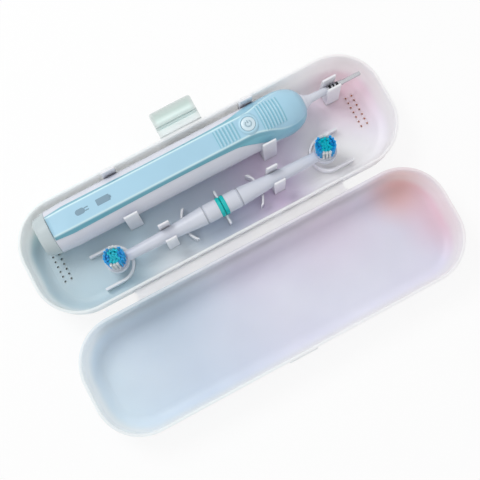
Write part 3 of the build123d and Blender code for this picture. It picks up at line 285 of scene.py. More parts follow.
# how far from the flap's middle the painted shade on its edges starts and is full
FLAP_SHADE_EDGE = (0.0092, 0.0118)
FLAP_EDGE_SHADE = (0.610, 0.650, 0.640)
FLAP_EDGE_SHADE_SHARE = 0.75
FROSTED_ROUGHNESS = 0.38
FROSTED_IOR = 1.49
FROSTED_SCATTER = 0.90
FLOOR_SCATTER_DEPTH = 0.003
WALL_SCATTER_DEPTH = 0.012
WALL_FOOT = (0.0030, 0.0070)
FLAP_SCATTER_DEPTH = 0.0025
EVEN_SPREAD = (1.0, 1.0, 1.0)
FROSTED_GRAIN = 2200.0
FROSTED_GRAIN_DEPTH = 0.12
GRAIN_DETAIL = 3.0
GRAIN_HEIGHT = 0.0001
FROSTED_CLOUDS = 28.0
FROSTED_UNEVENNESS = 0.03
CLOUD_DETAIL = 2.0
CLOUD_RANGE = (0.3, 0.7)
# a colour Mix node's factor and two colours, and its result
MIX_SOCKETS = (0, 6, 7)
MIX_RESULT = 2


def shader_tree(name):
    """A new material with its node tree, its shader and an Object coordinate output."""
    finish = bpy.data.materials.new(name)
    finish.use_nodes = True
    tree = finish.node_tree
    place = tree.nodes.new("ShaderNodeTexCoord").outputs["Object"]
    return finish, tree, tree.nodes["Principled BSDF"], place


def vector_from(tree, operation, *values):
    """The result of a calculation on vectors, which is a number for a length or a distance."""
    node = tree.nodes.new("ShaderNodeVectorMath")
    node.operation = operation
    for socket, value in zip(node.inputs, values):
        set_socket(tree, socket, value)
    return node.outputs["Value" if operation in ("LENGTH", "DISTANCE") else "Vector"]


def ranged(tree, value, start, end, first, last, kind="SMOOTHSTEP"):
    """Takes a value from one range to another, and holds it at the ends."""
    change = tree.nodes.new("ShaderNodeMapRange")
    change.interpolation_type = kind
    limits = {"From Min": start, "From Max": end, "To Min": first, "To Max": last}
    for socket, limit in limits.items():
        change.inputs[socket].default_value = limit
    tree.links.new(value, change.inputs["Value"])
    return change.outputs["Result"]


def noise(tree, place, scale, detail):
    """Soft noise of a given fineness."""
    texture = tree.nodes.new("ShaderNodeTexNoise")
    texture.inputs["Scale"].default_value = scale
    texture.inputs["Detail"].default_value = detail
    tree.links.new(place, texture.inputs["Vector"])
    return texture.outputs["Fac"]


def fine_grain(tree, shader, place, scale, depth):
    """A fine moulded grain, as bump."""
    bump = tree.nodes.new("ShaderNodeBump")
    bump.inputs["Strength"].default_value = depth
    bump.inputs["Distance"].default_value = GRAIN_HEIGHT
    tree.links.new(noise(tree, place, scale, GRAIN_DETAIL), bump.inputs["Height"])
    tree.links.new(bump.outputs["Normal"], shader.inputs["Normal"])


def cloud_factor(tree, place, scale, low, high):
    """Soft uneven patches, from low to high."""
    clouds = noise(tree, place, scale, CLOUD_DETAIL)
    return ranged(tree, clouds, *CLOUD_RANGE, low, high, "LINEAR")


def mixed(tree, kind, factor, first, second):
    """A colour mixed from two, each a colour or another node's output."""
    mix = tree.nodes.new("ShaderNodeMix")
    mix.data_type = "RGBA"
    mix.blend_type = kind
    for number, value in zip(MIX_SOCKETS, (factor, first, second)):
        if isinstance(value, tuple):
            value = (*value, 1.0)
        set_socket(tree, mix.inputs[number], value)
    return mix.outputs[MIX_RESULT]


def tint_along(tree, place, tints, axis="X"):
    """A colour that runs along an axis through the given places."""
    start = tints[0][0]
    end = tints[-1][0]
    share = ranged(tree, place_along(tree, place, axis), start, end, 0.0, 1.0, "LINEAR")
    ramp = tree.nodes.new("ShaderNodeValToRGB")
    stops = ramp.color_ramp.elements
    while len(stops) < len(tints):
        stops.new(0.5)
    for stop, (stop_place, colour) in zip(stops, tints):
        stop.position = (stop_place - start) / (end - start)
        stop.color = (*colour, 1.0)
    tree.links.new(share, ramp.inputs["Fac"])
    return ramp.outputs["Color"]


def near_factor(tree, place, centre, radius, strength):
    """Falls from strength at a place to nothing at a radius from it."""
    distance = vector_from(tree, "DISTANCE", place, centre)
    return ranged(tree, distance, 0.0, radius, strength, 0.0)


def fade_along(tree, place, axis, start, end, first, last):
    """Goes smoothly from one value to another between two places along an axis."""
    return ranged(tree, place_along(tree, place, axis), start, end, first, last)


def painted_vent_shade(tree, place):
    """1 on the narrow edges of the vent holes, at both ends of the tray, where painted shade goes, and 0
    elsewhere.
    """
    at_one_end = tree.nodes.new("ShaderNodeCombineXYZ")
    from_middle = number_from(tree, "ABSOLUTE", place_along(tree, place, "X"))
    tree.links.new(from_middle, at_one_end.inputs["X"])
    tree.links.new(place_along(tree, place, "Y"), at_one_end.inputs["Y"])
    offset = vector_from(tree, "SUBTRACT", at_one_end.outputs["Vector"], VENT_MIDDLE)
    from_column = vector_from(tree, "ADD", offset, (VENT_SPACING.x / 2, 0.0, 0.0))
    from_hole = vector_from(tree, "WRAP", from_column, VENT_SPACING / 2, -VENT_SPACING / 2)
    factor = number_from(tree, "LESS_THAN", vector_from(tree, "LENGTH", from_hole), VENT_SHADE_EDGE)
    for axis, half in (("X", VENT_HALF_LENGTH), ("Y", VENT_HALF_WIDTH)):
        inside = reach_test(tree, "LESS_THAN", offset, axis, half)
        factor = number_from(tree, "MULTIPLY", factor, inside)
    return factor


def milky(tree, shader, share, depth):
    """Lets light spread within the plastic, as deep in every colour."""
    shader.inputs["Subsurface Weight"].default_value = share
    shader.inputs["Subsurface Radius"].default_value = EVEN_SPREAD
    set_socket(tree, shader.inputs["Subsurface Scale"], depth)


def frosted(tree, shader, place, colour, depth):
    """Gives a shader the frosted plastic's colour, gloss, milkiness and grain."""
    tree.links.new(colour, shader.inputs["Base Color"])
    shader.inputs["Roughness"].default_value = FROSTED_ROUGHNESS
    shader.inputs["IOR"].default_value = FROSTED_IOR
    milky(tree, shader, FROSTED_SCATTER, depth)
    fine_grain(tree, shader, place, FROSTED_GRAIN, FROSTED_GRAIN_DEPTH)


def case_plastic(name, tints, patches=(), wall_light_share=0.0, hinge_light_share=0.0, latch_light_share=0.0, clearness=0.0):
    """Frosted polypropylene with a run of tints that hold painted coloured light and shade, painted
    patches, and painted light up the walls and along the latch side.
    """
    finish, tree, shader, place = shader_tree(name)
    colour = tint_along(tree, place, tints)
    # painted light up the walls, fading out towards the lid's hinge side, and along the latch side
    up_wall = fade_along(tree, place, "Z", *WALL_LIGHT_FADE, 0.0, wall_light_share)
    at_hinge = fade_along(tree, place, "Y", *HINGE_LIGHT_FADE, 1.0, hinge_light_share)
    wall = number_from(tree, "MULTIPLY", up_wall, at_hinge)
    painted_wall_light = tint_along(tree, place, WALL_LIGHT_TINTS)
    colour = mixed(tree, "MIX", wall, colour, painted_wall_light)
    latch_light = fade_along(tree, place, "Y", *LATCH_LIGHT_FADE, 0.0, latch_light_share)
    colour = mixed(tree, "MIX", latch_light, colour, painted_wall_light)
    # painted patches of light, shade and coloured reflection
    for centre, radius, painted_tone, strength in patches:
        colour = mixed(tree, "MIX", near_factor(tree, place, centre, radius, strength), colour, painted_tone)
    clouds = cloud_factor(
        tree, place, FROSTED_CLOUDS, 1.0 - FROSTED_UNEVENNESS, 1.0 + FROSTED_UNEVENNESS
    )
    colour = mixed(tree, "MULTIPLY", 1.0, colour, clouds)
    # painted shade in the vent holes
    vent_shade = tint_along(tree, place, VENT_SHADE_TINTS)
    colour = mixed(tree, "MIX", painted_vent_shade(tree, place), colour, vent_shade)
    shader.inputs["Transmission Weight"].default_value = clearness
    depth = fade_along(tree, place, "Z", *WALL_FOOT, FLOOR_SCATTER_DEPTH, WALL_SCATTER_DEPTH)
    frosted(tree, shader, place, colour, depth)
    return finish


def flap_plastic(name):
    """The latch flap's plastic, with a painted highlight on its ridge, painted shade beside the ridge and
    painted shade at its edges.
    """
    finish, tree, shader, place = shader_tree(name)
    colour = tint_along(tree, place, FLAP_TINT_AND_PAINTED_RELIEF, "Y")
    near, far = FLAP_SHADE_EDGE
    for start, end, first, last in ((near, far, 0.0, FLAP_EDGE_SHADE_SHARE), (-far, -near, FLAP_EDGE_SHADE_SHARE, 0.0)):
        edge = fade_along(tree, place, "X", start, end, first, last)
        colour = mixed(tree, "MIX", edge, colour, FLAP_EDGE_SHADE)
    frosted(tree, shader, place, colour, FLAP_SCATTER_DEPTH)
    return finish


def finish_node(node, finish):
    """Gives a CAD node its material."""
    piece = nodes[node]
    piece.data.materials.clear()
    piece.data.materials.append(finish)


tray_finish = case_plastic(
    "frosted_base_tray", TRAY_TINT_AND_PAINTED_LIGHT, TRAY_PAINTED_LIGHT_PATCHES, WALL_LIGHT_SHARE, TRAY_HINGE_LIGHT_SHARE, TRAY_LATCH_LIGHT_SHARE
)
lid_finish = case_plastic("frosted_lid", LID_TINT_AND_PAINTED_LIGHT, LID_PAINTED_LIGHT_PATCHES, WALL_LIGHT_SHARE, LID_HINGE_LIGHT_SHARE)
strip_finish = case_plastic("frosted_hinge_strip", STRIP_TINTS, clearness=STRIP_CLEARNESS)
finish_node("base_tray", tray_finish)
finish_node("lid", lid_finish)
finish_node("hinge_strip", strip_finish)
finish_node("latch_flap", flap_plastic("frosted_latch_flap"))

# ---------------------------------------------------------------- clips and ribs
# Clips with two springy arms, saddle ribs and U-shaped guard ribs, moulded in one with the
# tray, of the same milky plastic, so thin that light passes easily.
CLIP_COLOUR = (0.780, 0.785, 0.830)
CLIP_NODES = (
    "handle_clip_left", "handle_clip_right", "shaft_clip", "head_clip_left", "head_clip_right",
    "saddle_rib_left", "saddle_rib_right", "saddle_rib_middle", "guard_rib_left", "guard_rib_right",
)
PLAIN_GRAIN = 900.0
PLAIN_GRAIN_DEPTH = 0.06
PLAIN_CLOUDS = 60.0
PLAIN_UNEVENNESS = 0.03
PLAIN_SCATTER_DEPTH = 0.003


def plain_plastic(
    name, colour, roughness, scatter=0.0, grain=PLAIN_GRAIN, depth=PLAIN_GRAIN_DEPTH,
    unevenness=PLAIN_UNEVENNESS,
):
    """A moulded plastic with a slight unevenness of colour and a fine grain."""
    finish, tree, shader, place = shader_tree(name)
    patches = cloud_factor(tree, place, PLAIN_CLOUDS, 1.0 - unevenness, 1.0 + unevenness)
    tree.links.new(mixed(tree, "MULTIPLY", 1.0, colour, patches), shader.inputs["Base Color"])
    shader.inputs["Roughness"].default_value = roughness
    milky(tree, shader, scatter, PLAIN_SCATTER_DEPTH)
    fine_grain(tree, shader, place, grain, depth)
    return finish


clip_finish = plain_plastic("clip_plastic", CLIP_COLOUR, roughness=0.32, scatter=0.7)
for node in CLIP_NODES:
    finish_node(node, clip_finish)

# ---------------------------------------------------------------- handle, cap and snout
# The handle's tube and the snout that carries the shaft are glossy white ABS, injection
# moulded. The end cap is pressed on from behind and is a little darker and greener.
TUBE_COLOUR = (0.690, 0.710, 0.790)
CAP_COLOUR = (0.510, 0.580, 0.600)
white_finish = plain_plastic("white_plastic", TUBE_COLOUR, roughness=0.27, scatter=0.15)
cap_finish = plain_plastic("cap_plastic", CAP_COLOUR, roughness=0.30, scatter=0.15)
finish_node("handle_housing", white_finish)
finish_node("snout", white_finish)
finish_node("end_cap", cap_finish)

# ---------------------------------------------------------------- front grip
# Soft light blue rubber, moulded over the white tube. Its flat front has sloping sides that
# widen and run out over the bulge, and low finger ribs on both sides of the button.
HANDLE_PLACE = Vector((0.0, 15.6, 14.9))
HANDLE_RADIUS = 12.5
GRIP_START = -84.7
GRIP_END = 64.0
GRIP_PROUD = 0.12
GRIP_THICKNESS = 0.9
GRIP_EDGE_DROP = 0.3
FRONT_HEIGHT = 13.1
BULGE_START = 49.0
# values along the handle, as (x, value), in mm from its middle line or degrees from straight up
OUTLINE_RADII = (
    (-85.0, 11.9), (-75.0, 12.5), (50.0, 12.5), (53.0, 12.28), (56.0, 11.65), (59.0, 10.45),
    (61.0, 9.25), (62.5, 7.75), (63.4, 6.45), (64.0, 5.4),
)
PARTING_HEIGHTS = ((-85.0, 10.05), (19.0, 10.05), (33.0, 6.95), (47.0, 0.0), (54.0, -3.9), (64.0, -3.9))
CREASE_ANGLES = ((-85.0, 23.5), (25.0, 23.5), (33.0, 25.5), (41.0, 35.5), (47.5, 49.0), (54.0, 55.0))
# shares of the painted highlight along the crease, fading out over the bulge
CREASE_HIGHLIGHT_FADES = ((-85.0, 1.0), (38.0, 1.0), (46.0, 0.7), (53.0, 0.35), (60.0, 0.0))
CREASE_ROUND = 0.35
CREASE_HIGHLIGHT_ANGLE = 0.035
CREASE_PASSING = 0.1
CROWNS = ((-85.0, 0.0), (24.0, 0.0), (34.0, 0.55), (44.0, 1.0), (64.0, 1.0))
CROWN_RISES = ((-85.0, 0.9), (36.0, 0.9), (45.0, 0.55), (52.0, 0.0), (64.0, 0.0))
SIDE_FALL = math.radians(12.2)
# the sloping sides' deeper tone, partly the rubber's own and partly painted shade, weaker on the latch side
# where the lamp lights it
SIDE_SHADE_START_ANGLE = 0.10
SIDE_TINT_AND_SHADE_FADES = ((-85.0, 1.0), (24.0, 1.0), (42.0, 0.55), (52.0, 0.48), (64.0, 0.45))
LATCH_SIDE_SHADE_FADES = ((-85.0, 1.0), (22.0, 1.0), (32.0, 0.35), (64.0, 0.2))
# each field of ribs: its first and last place, the ribs' pitch and half their length
LOWER_RIB_PLACES = (12.6, 24.2, 1.93, 4.9)
UPPER_RIB_PLACES = (38.0, 50.6, 1.8, 7.6)
RIB_RISE = 0.62
RIB_SHARPNESS = 1.6
RIB_END_RUN = 0.5
RIB_SIDE_RUN = 1.0
RIB_BOW = 0.004
# painted highlight on the rib crests and painted shade in the rib valleys
RIB_CREST_HIGHLIGHT = 0.30
RIB_HIGHLIGHT_SHARPNESS = 3
RIB_VALLEY_SHADE = 0.85
RIB_SHADE_SHARPNESS = 2
FINE_START = 8.0
FINE_END = 56.0
COARSE_COLUMNS = 46
FINE_COLUMNS = 190
END_COLUMNS = 26
GRIP_ROWS = 110
BUTTON_PLACE = Vector((31.1, HANDLE_PLACE.y, 0.0))
BUTTON_HOLE_HEIGHT = 28.0
BUTTON_HOLE_RADIUS = 4.8
GRIP_COLOUR = (0.370, 0.610, 0.760)
# the sides' tone, partly the rubber's and partly painted shade, and the painted highlight's colour
GRIP_SIDE_TINT_AND_SHADE = (0.160, 0.440, 0.540)
GRIP_HIGHLIGHT_COLOUR = (0.640, 0.860, 0.900)
GRIP_CLOUDS = 45.0
GRIP_UNEVENNESS = 0.03
RUBBER_GRAIN = 2600.0
RUBBER_GRAIN_DEPTH = 0.10
RUBBER_ROUGHNESS = 0.36
RUBBER_COAT = 0.15
RUBBER_COAT_ROUGHNESS = 0.25


def along(x, stops):
    """A smooth value between the places given as (x, value)."""
    if x <= stops[0][0]:
        return stops[0][1]
    for k in range(len(stops) - 1):
        (x0, v0), (x1, v1) = stops[k], stops[k + 1]
        if x <= x1:
            before = stops[max(k - 1, 0)]
            after = stops[min(k + 2, len(stops) - 1)]
            slope0 = (v1 - before[1]) / (x1 - before[0])
            slope1 = (after[1] - v0) / (after[0] - x0)
            t = (x - x0) / (x1 - x0)
            span = x1 - x0
            return (
                v0 * (2 * t**3 - 3 * t**2 + 1) + slope0 * span * (t**3 - 2 * t**2 + t)
                + v1 * (3 * t**2 - 2 * t**3) + slope1 * span * (t**3 - t**2)
            )
    return stops[-1][1]


def straight(x, stops):
    """A value between the places given as (x, value), with straight runs."""
    for (x0, v0), (x1, v1) in zip(stops, stops[1:]):
        if x <= x1:
            return v0 + (v1 - v0) * max(x - x0, 0.0) / (x1 - x0)
    return stops[-1][1]


def soft_step(value, low, high):
    """0 below low, 1 above high and smooth between them."""
    t = min(max((value - low) / (high - low), 0.0), 1.0)
    return t * t * (3.0 - 2.0 * t)


def soft_larger(a, b, blend):
    """The larger of two, rounded where they meet."""
    share = max(blend - abs(a - b), 0.0) / blend
    return max(a, b) + share * share * blend / 4.0


def soft_smaller(a, b, blend):
    """The smaller of two, rounded where they meet."""
    return -soft_larger(-a, -b, blend)


def front_rise(x, turn):
    """How far the grip's front stands off the round tube: flat at first, crowned on the bulge."""
    crown = along(x, CROWNS)
    flat = FRONT_HEIGHT / math.cos(turn) - HANDLE_RADIUS
    return flat * (1.0 - crown) + along(x, CROWN_RISES) * crown


def grip_radius(x, angle):
    """Distance of the grip's skin from the handle's middle line, without its ribs."""
    body = straight(x, OUTLINE_RADII) if x < BULGE_START else along(x, OUTLINE_RADII)
    crease = math.radians(along(x, CREASE_ANGLES))
    side_rise = front_rise(x, crease) * (1.0 - (abs(angle) - crease) / SIDE_FALL)
    front = front_rise(x, min(abs(angle), crease + CREASE_PASSING))
    rise = soft_smaller(front, side_rise, CREASE_ROUND)
    return body + soft_larger(rise, 0.0, CREASE_ROUND / 2.0)


def rib_wave(x, across, places):
    """How far a place is within a field of finger ribs, and how near it is to a rib's crest."""
    first, last, pitch, half_length = places
    ends = soft_step(x, first - RIB_END_RUN, first) * (1.0 - soft_step(x, last, last + RIB_END_RUN))
    sides = 1.0 - soft_step(abs(across), half_length - RIB_SIDE_RUN, half_length)
    bow = RIB_BOW * across * across
    crest = 0.5 + 0.5 * math.cos(2.0 * math.pi * (x + bow - first - pitch / 2.0) / pitch)
    return ends * sides, crest


def painted_grip_light(x, angle, ribbed, crest):
    """Shares of the painted highlight on creases and crests, of the deeper tone on sides, partly the
    rubber's own and partly painted shade, and of the painted shade in valleys.
    """
    off_crease = abs(angle) - math.radians(along(x, CREASE_ANGLES))
    line = along(x, CREASE_HIGHLIGHT_FADES) * math.exp(-(off_crease / CREASE_HIGHLIGHT_ANGLE) ** 2)
    side = soft_step(off_crease, 0.0, SIDE_SHADE_START_ANGLE) * along(x, SIDE_TINT_AND_SHADE_FADES)
    if angle > 0.0:
        side *= along(x, LATCH_SIDE_SHADE_FADES)
    crest_highlight = RIB_CREST_HIGHLIGHT * ribbed * crest**RIB_HIGHLIGHT_SHARPNESS
    valley_shade = RIB_VALLEY_SHADE * ribbed * (1.0 - crest) ** RIB_SHADE_SHARPNESS
    return max(line, crest_highlight), max(side, valley_shade)


grip_columns = (
    [GRIP_START + (FINE_START - GRIP_START) * k / COARSE_COLUMNS for k in range(COARSE_COLUMNS)]
    + [FINE_START + (FINE_END - FINE_START) * k / FINE_COLUMNS for k in range(FINE_COLUMNS)]
    + [
        FINE_END + (GRIP_END - FINE_END) * math.sin(math.pi / 2 * k / END_COLUMNS)
        for k in range(END_COLUMNS + 1)
    ]
)
last_column = len(grip_columns) - 1
grip_shape = bmesh.new()
bmesh.ops.create_grid(grip_shape, x_segments=last_column, y_segments=GRIP_ROWS, size=1.0)
highlight_layer = grip_shape.verts.layers.float.new("painted_highlight")
tint_shade_layer = grip_shape.verts.layers.float.new("grip_tint_and_shade")
for vertex in grip_shape.verts:
    x = grip_columns[round((vertex.co.x + 1.0) / 2.0 * last_column)]
    body = straight(x, OUTLINE_RADII)
    edge_angle = math.acos((along(x, PARTING_HEIGHTS) - GRIP_EDGE_DROP) / body)
    angle = vertex.co.y * edge_angle
    across = body * math.sin(angle)
    ribbed, crest = max(rib_wave(x, across, LOWER_RIB_PLACES), rib_wave(x, across, UPPER_RIB_PLACES))
    radius = grip_radius(x, angle) + GRIP_PROUD + RIB_RISE * ribbed * crest**RIB_SHARPNESS
    place = HANDLE_PLACE + Vector((x, radius * math.sin(angle), radius * math.cos(angle)))
    vertex.co = place * MM
    vertex[highlight_layer], vertex[tint_shade_layer] = painted_grip_light(x, angle, ribbed, crest)
hole_middle = BUTTON_PLACE + Vector((0.0, 0.0, BUTTON_HOLE_HEIGHT))
button_hole = [
    face for face in grip_shape.faces
    if (face.calc_center_median() / MM - hole_middle).length < BUTTON_HOLE_RADIUS
]
bmesh.ops.delete(grip_shape, geom=button_hole, context="FACES")
for face in grip_shape.faces:
    face.smooth = True
grip = new_piece("grip_skin", grip_shape)
grip_wall = grip.modifiers.new("wall", "SOLIDIFY")
grip_wall.thickness = GRIP_THICKNESS * MM
grip_wall.offset = -1.0


def grip_rubber(name):
    """Soft rubber: a painted highlight along the creases and crests, a greener tone on the sloping sides
    that is partly its own and partly painted shade, and painted shade in the valleys.
    """
    finish, tree, shader, place = shader_tree(name)
    patches = cloud_factor(tree, place, GRIP_CLOUDS, 1.0 - GRIP_UNEVENNESS, 1.0 + GRIP_UNEVENNESS)
    tone = mixed(tree, "MULTIPLY", 1.0, GRIP_COLOUR, patches)
    for layer, colour in (("grip_tint_and_shade", GRIP_SIDE_TINT_AND_SHADE), ("painted_highlight", GRIP_HIGHLIGHT_COLOUR)):
        share = tree.nodes.new("ShaderNodeAttribute")
        share.attribute_name = layer
        tone = mixed(tree, "MIX", share.outputs["Fac"], tone, colour)
    tree.links.new(tone, shader.inputs["Base Color"])
    shader.inputs["Roughness"].default_value = RUBBER_ROUGHNESS
    shader.inputs["Coat Weight"].default_value = RUBBER_COAT
    shader.inputs["Coat Roughness"].default_value = RUBBER_COAT_ROUGHNESS
    fine_grain(tree, shader, place, RUBBER_GRAIN, RUBBER_GRAIN_DEPTH)
    return finish


grip.data.materials.append(grip_rubber("blue_rubber"))
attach(grip, "handle")
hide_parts("front_grip")

# ---------------------------------------------------------------- button collar
# A raised rubber ring round the power button, turned to a rounded lip with a gentle slope
# outside it. It is moulded with the grip and closes the gap round the button.
SPIN_STEPS = 64
SAME_POINT = 1e-5
COLLAR_COLOUR = (0.420, 0.660, 0.790)


def finished(name, shape, finish, body):
    """Makes a smooth shaded piece with its material and body."""
    for face in shape.faces:
        face.smooth = True
    piece = new_piece(name, shape)
    piece.data.materials.append(finish)
    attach(piece, body)
    return piece


def spun(name, outline, centre, finish, body):
    """A piece turned from an outline of (radius, height) points about an upright line, in mm."""
    shape = bmesh.new()
    points = [shape.verts.new((radius, 0.0, height)) for radius, height in outline]
    edges = [shape.edges.new(pair) for pair in zip(points, points[1:])]
    bmesh.ops.spin(
        shape, geom=points + edges, cent=(0, 0, 0), axis=(0, 0, 1), dvec=(0, 0, 0),
        angle=math.tau, steps=SPIN_STEPS, use_merge=True,
    )
    bmesh.ops.remove_doubles(shape, verts=shape.verts, dist=SAME_POINT)
    bmesh.ops.recalc_face_normals(shape, faces=shape.faces)
    bmesh.ops.translate(shape, verts=shape.verts, vec=centre)
    bmesh.ops.scale(shape, verts=shape.verts, vec=(MM, MM, MM))
    return finished(name, shape, finish, body)


def rounded(centre_radius, centre_height, radius, start, end, count=5):
    """Points on a round edge, from one angle to another, in degrees."""
    turns = [math.radians(start + (end - start) * k / count) for k in range(count + 1)]
    return [
        (centre_radius + radius * math.cos(turn), centre_height + radius * math.sin(turn))
        for turn in turns
    ]


COLLAR_OUTLINE = [
    (3.95, 27.3), (3.95, 28.45),
    *rounded(4.3, 28.45, 0.35, 180, 60),
    *rounded(4.85, 28.3, 0.35, 60, 25),
    (5.9, 27.95), (5.9, 27.3), (3.95, 27.3),
]
collar_finish = plain_plastic(
    "collar_rubber", COLLAR_COLOUR, roughness=0.34, grain=RUBBER_GRAIN, depth=RUBBER_GRAIN_DEPTH
)
spun("button_collar", COLLAR_OUTLINE, BUTTON_PLACE, collar_finish, "handle")

# ---------------------------------------------------------------- power button
# A round push button of white plastic with a shallow dome. The switch sign is moulded on it,
# a broken ring with a bar, a little raised, and painted darker than the button as its shade.
BUTTON_TOP = 29.3
BUTTON_OUTLINE = [
    (0.0, 25.0), (1.4, 25.0), (1.4, 27.1), (3.85, 27.1),
    *rounded(3.3, 28.5, 0.55, 0, 65),
    (2.6, 29.18), (1.3, 29.27), (0.0, BUTTON_TOP),
]
BUTTON_COLOUR = (0.640, 0.790, 0.870)
# the sign is painted darker than the button, as its shade
SIGN_SHADE_COLOUR = (0.370, 0.510, 0.590)
SIGN_RADIUS = 1.6
SIGN_LINE_RADIUS = 0.38
SIGN_RISE = 0.28
SIGN_GAP = math.radians(70.0)
SIGN_SIDES = 10
SIGN_STEPS = 36
BAR_LENGTH = 1.6
BAR_MIDDLE = 1.15
QUARTER_TURN = math.pi / 2

button_finish = plain_plastic("button_plastic", BUTTON_COLOUR, roughness=0.24, scatter=0.2)
button = spun("button_cap", BUTTON_OUTLINE, BUTTON_PLACE, button_finish, "button")
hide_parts("power_button")

sign_shape = bmesh.new()
bmesh.ops.create_circle(sign_shape, segments=SIGN_SIDES, radius=SIGN_LINE_RADIUS)
bmesh.ops.rotate(
    sign_shape, verts=sign_shape.verts, cent=(0, 0, 0), matrix=Matrix.Rotation(QUARTER_TURN, 3, "X")
)
bmesh.ops.translate(sign_shape, verts=sign_shape.verts, vec=(SIGN_RADIUS, 0, 0))
bmesh.ops.spin(
    sign_shape, geom=sign_shape.verts[:] + sign_shape.edges[:], cent=(0, 0, 0), axis=(0, 0, 1),
    dvec=(0, 0, 0), angle=math.tau - SIGN_GAP, steps=SIGN_STEPS,
)
bmesh.ops.rotate(
    sign_shape, verts=sign_shape.verts, cent=(0, 0, 0),
    matrix=Matrix.Rotation(QUARTER_TURN + SIGN_GAP / 2, 3, "Z"),
)
bmesh.ops.create_cone(
    sign_shape, cap_ends=True, segments=SIGN_SIDES, radius1=SIGN_LINE_RADIUS, radius2=SIGN_LINE_RADIUS,
    depth=BAR_LENGTH,
    matrix=Matrix.Translation((0.0, BAR_MIDDLE, 0.0)) @ Matrix.Rotation(QUARTER_TURN, 4, "X"),
)
bmesh.ops.holes_fill(sign_shape, edges=[edge for edge in sign_shape.edges if edge.is_boundary])
bmesh.ops.recalc_face_normals(sign_shape, faces=sign_shape.faces)
sign_place = BUTTON_PLACE + Vector((0.0, 0.0, BUTTON_TOP + SIGN_RISE - SIGN_LINE_RADIUS))
bmesh.ops.translate(sign_shape, verts=sign_shape.verts, vec=sign_place)
bmesh.ops.scale(sign_shape, verts=sign_shape.verts, vec=(MM, MM, MM))
sign_shade_finish = plain_plastic("sign_shaded_plastic", SIGN_SHADE_COLOUR, roughness=0.3)
finished("button_sign", sign_shape, sign_shade_finish, "button")

# ---------------------------------------------------------------- light windows
# Two small grey windows of clear plastic in the grip's front, one in the form of a plug and
# one in the form of a battery, with the lamps of the circuit board below them.
WINDOW_TOP = 28.2
WINDOW_DEPTH = 0.9
WINDOW_CORNER_STEPS = 6
WINDOW_COLOUR = (0.210, 0.330, 0.420)
# the windows' blocks: a middle in X and Y, a width, a height and a corner's radius
PLUG_BLOCKS = (
    (-66.9, 0.0, 5.4, 3.1, 1.5),
    (-63.2, 0.75, 2.2, 0.55, 0.2),
    (-63.2, -0.75, 2.2, 0.55, 0.2),
)
BATTERY_BLOCKS = (
    (-53.7, 0.0, 7.6, 3.5, 0.5),
    (-49.6, 0.0, 0.8, 1.6, 0.2),
)


def window_block(shape, centre_x, centre_y, width, height, corner):
    """A flat block with rounded corners, standing just proud of the grip's front."""
    block = bmesh.ops.create_cube(shape, size=1.0)["verts"]
    bmesh.ops.scale(shape, verts=block, vec=(width, height, WINDOW_DEPTH))
    bmesh.ops.translate(
        shape, verts=block,
        vec=(centre_x, HANDLE_PLACE.y + centre_y, WINDOW_TOP - WINDOW_DEPTH / 2),
    )
    upright = [
        edge for edge in {edge for vertex in block for edge in vertex.link_edges}
        if abs(edge.verts[0].co.z - edge.verts[1].co.z) > WINDOW_DEPTH / 2
    ]
    bmesh.ops.bevel(
        shape, geom=upright, offset=corner, segments=WINDOW_CORNER_STEPS, profile=0.5,
        affect="EDGES", material=-1,
    )


window_finish = plain_plastic("window_grey", WINDOW_COLOUR, roughness=0.22)
for name, node, blocks in (
    ("charge_window", "charge_light_window", PLUG_BLOCKS),
    ("cell_window", "cell_light_window", BATTERY_BLOCKS),
):
    window_shape = bmesh.new()
    for block in blocks:
        window_block(window_shape, *block)
    bmesh.ops.scale(window_shape, verts=window_shape.verts, vec=(MM, MM, MM))
    pane = new_piece(name, window_shape)
    pane.data.materials.append(window_finish)
    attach(pane, "handle")
    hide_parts(node)

# ---------------------------------------------------------------- brush heads
# Each refill head is a white tapering tube of moulded plastic with a sleeve and a colour ring
# at its open end, and a cup with the round disc that swings on a pin. The heads lie in their
# clips, rolled a little towards the handle.
HEAD_COLOUR = (0.640, 0.665, 0.740)
GROOVE_PLACES = ((-0.01085, -0.01020), (0.01020, 0.01085))
GROOVE_COLOUR = (0.400, 0.420, 0.470)
RING_COLOUR = (0.000, 0.500, 0.490)


def band_factor(tree, place, start, end):
    """1 between two places along X and 0 elsewhere."""
    x = place_along(tree, place, "X")
    after = number_from(tree, "GREATER_THAN", x, start)
    before = number_from(tree, "LESS_THAN", x, end)
    return number_from(tree, "MULTIPLY", after, before)


def head_plastic(name, colour, roughness, scatter):
    """The heads' white plastic, with the shade that sits in the groove of each sleeve."""
    finish = plain_plastic(name, colour, roughness, scatter)
    tree = finish.node_tree
    shader = tree.nodes["Principled BSDF"]
    place = tree.nodes["Texture Coordinate"].outputs["Object"]
    tone = shader.inputs["Base Color"].links[0].from_socket
    for start, end in GROOVE_PLACES:
        tone = mixed(tree, "MIX", band_factor(tree, place, start, end), tone, GROOVE_COLOUR)
    tree.links.new(tone, shader.inputs["Base Color"])
    return finish


head_finish = head_plastic("head_plastic", HEAD_COLOUR, roughness=0.30, scatter=0.25)
ring_finish = plain_plastic("ring_plastic", RING_COLOUR, roughness=0.22)
for hand in ("left", "right"):
    finish_node(f"{hand}_head_body", head_finish)
    finish_node(f"{hand}_colour_ring", ring_finish)
    finish_node(f"{hand}_brush_disc", head_finish)

# ---------------------------------------------------------------- bristles
# Nylon strands in round tufts, folded in half and stapled into the disc. The middle tufts are
# teal and shorter, the outer ones blue at the ends of the disc and white along its sides.
HEAD_PLACE = Vector((0.0, -13.3, 11.5))
HEAD_ROLL = math.radians(8.0)
DISC_X = 62.5
TUFT_FOOT = 13.7
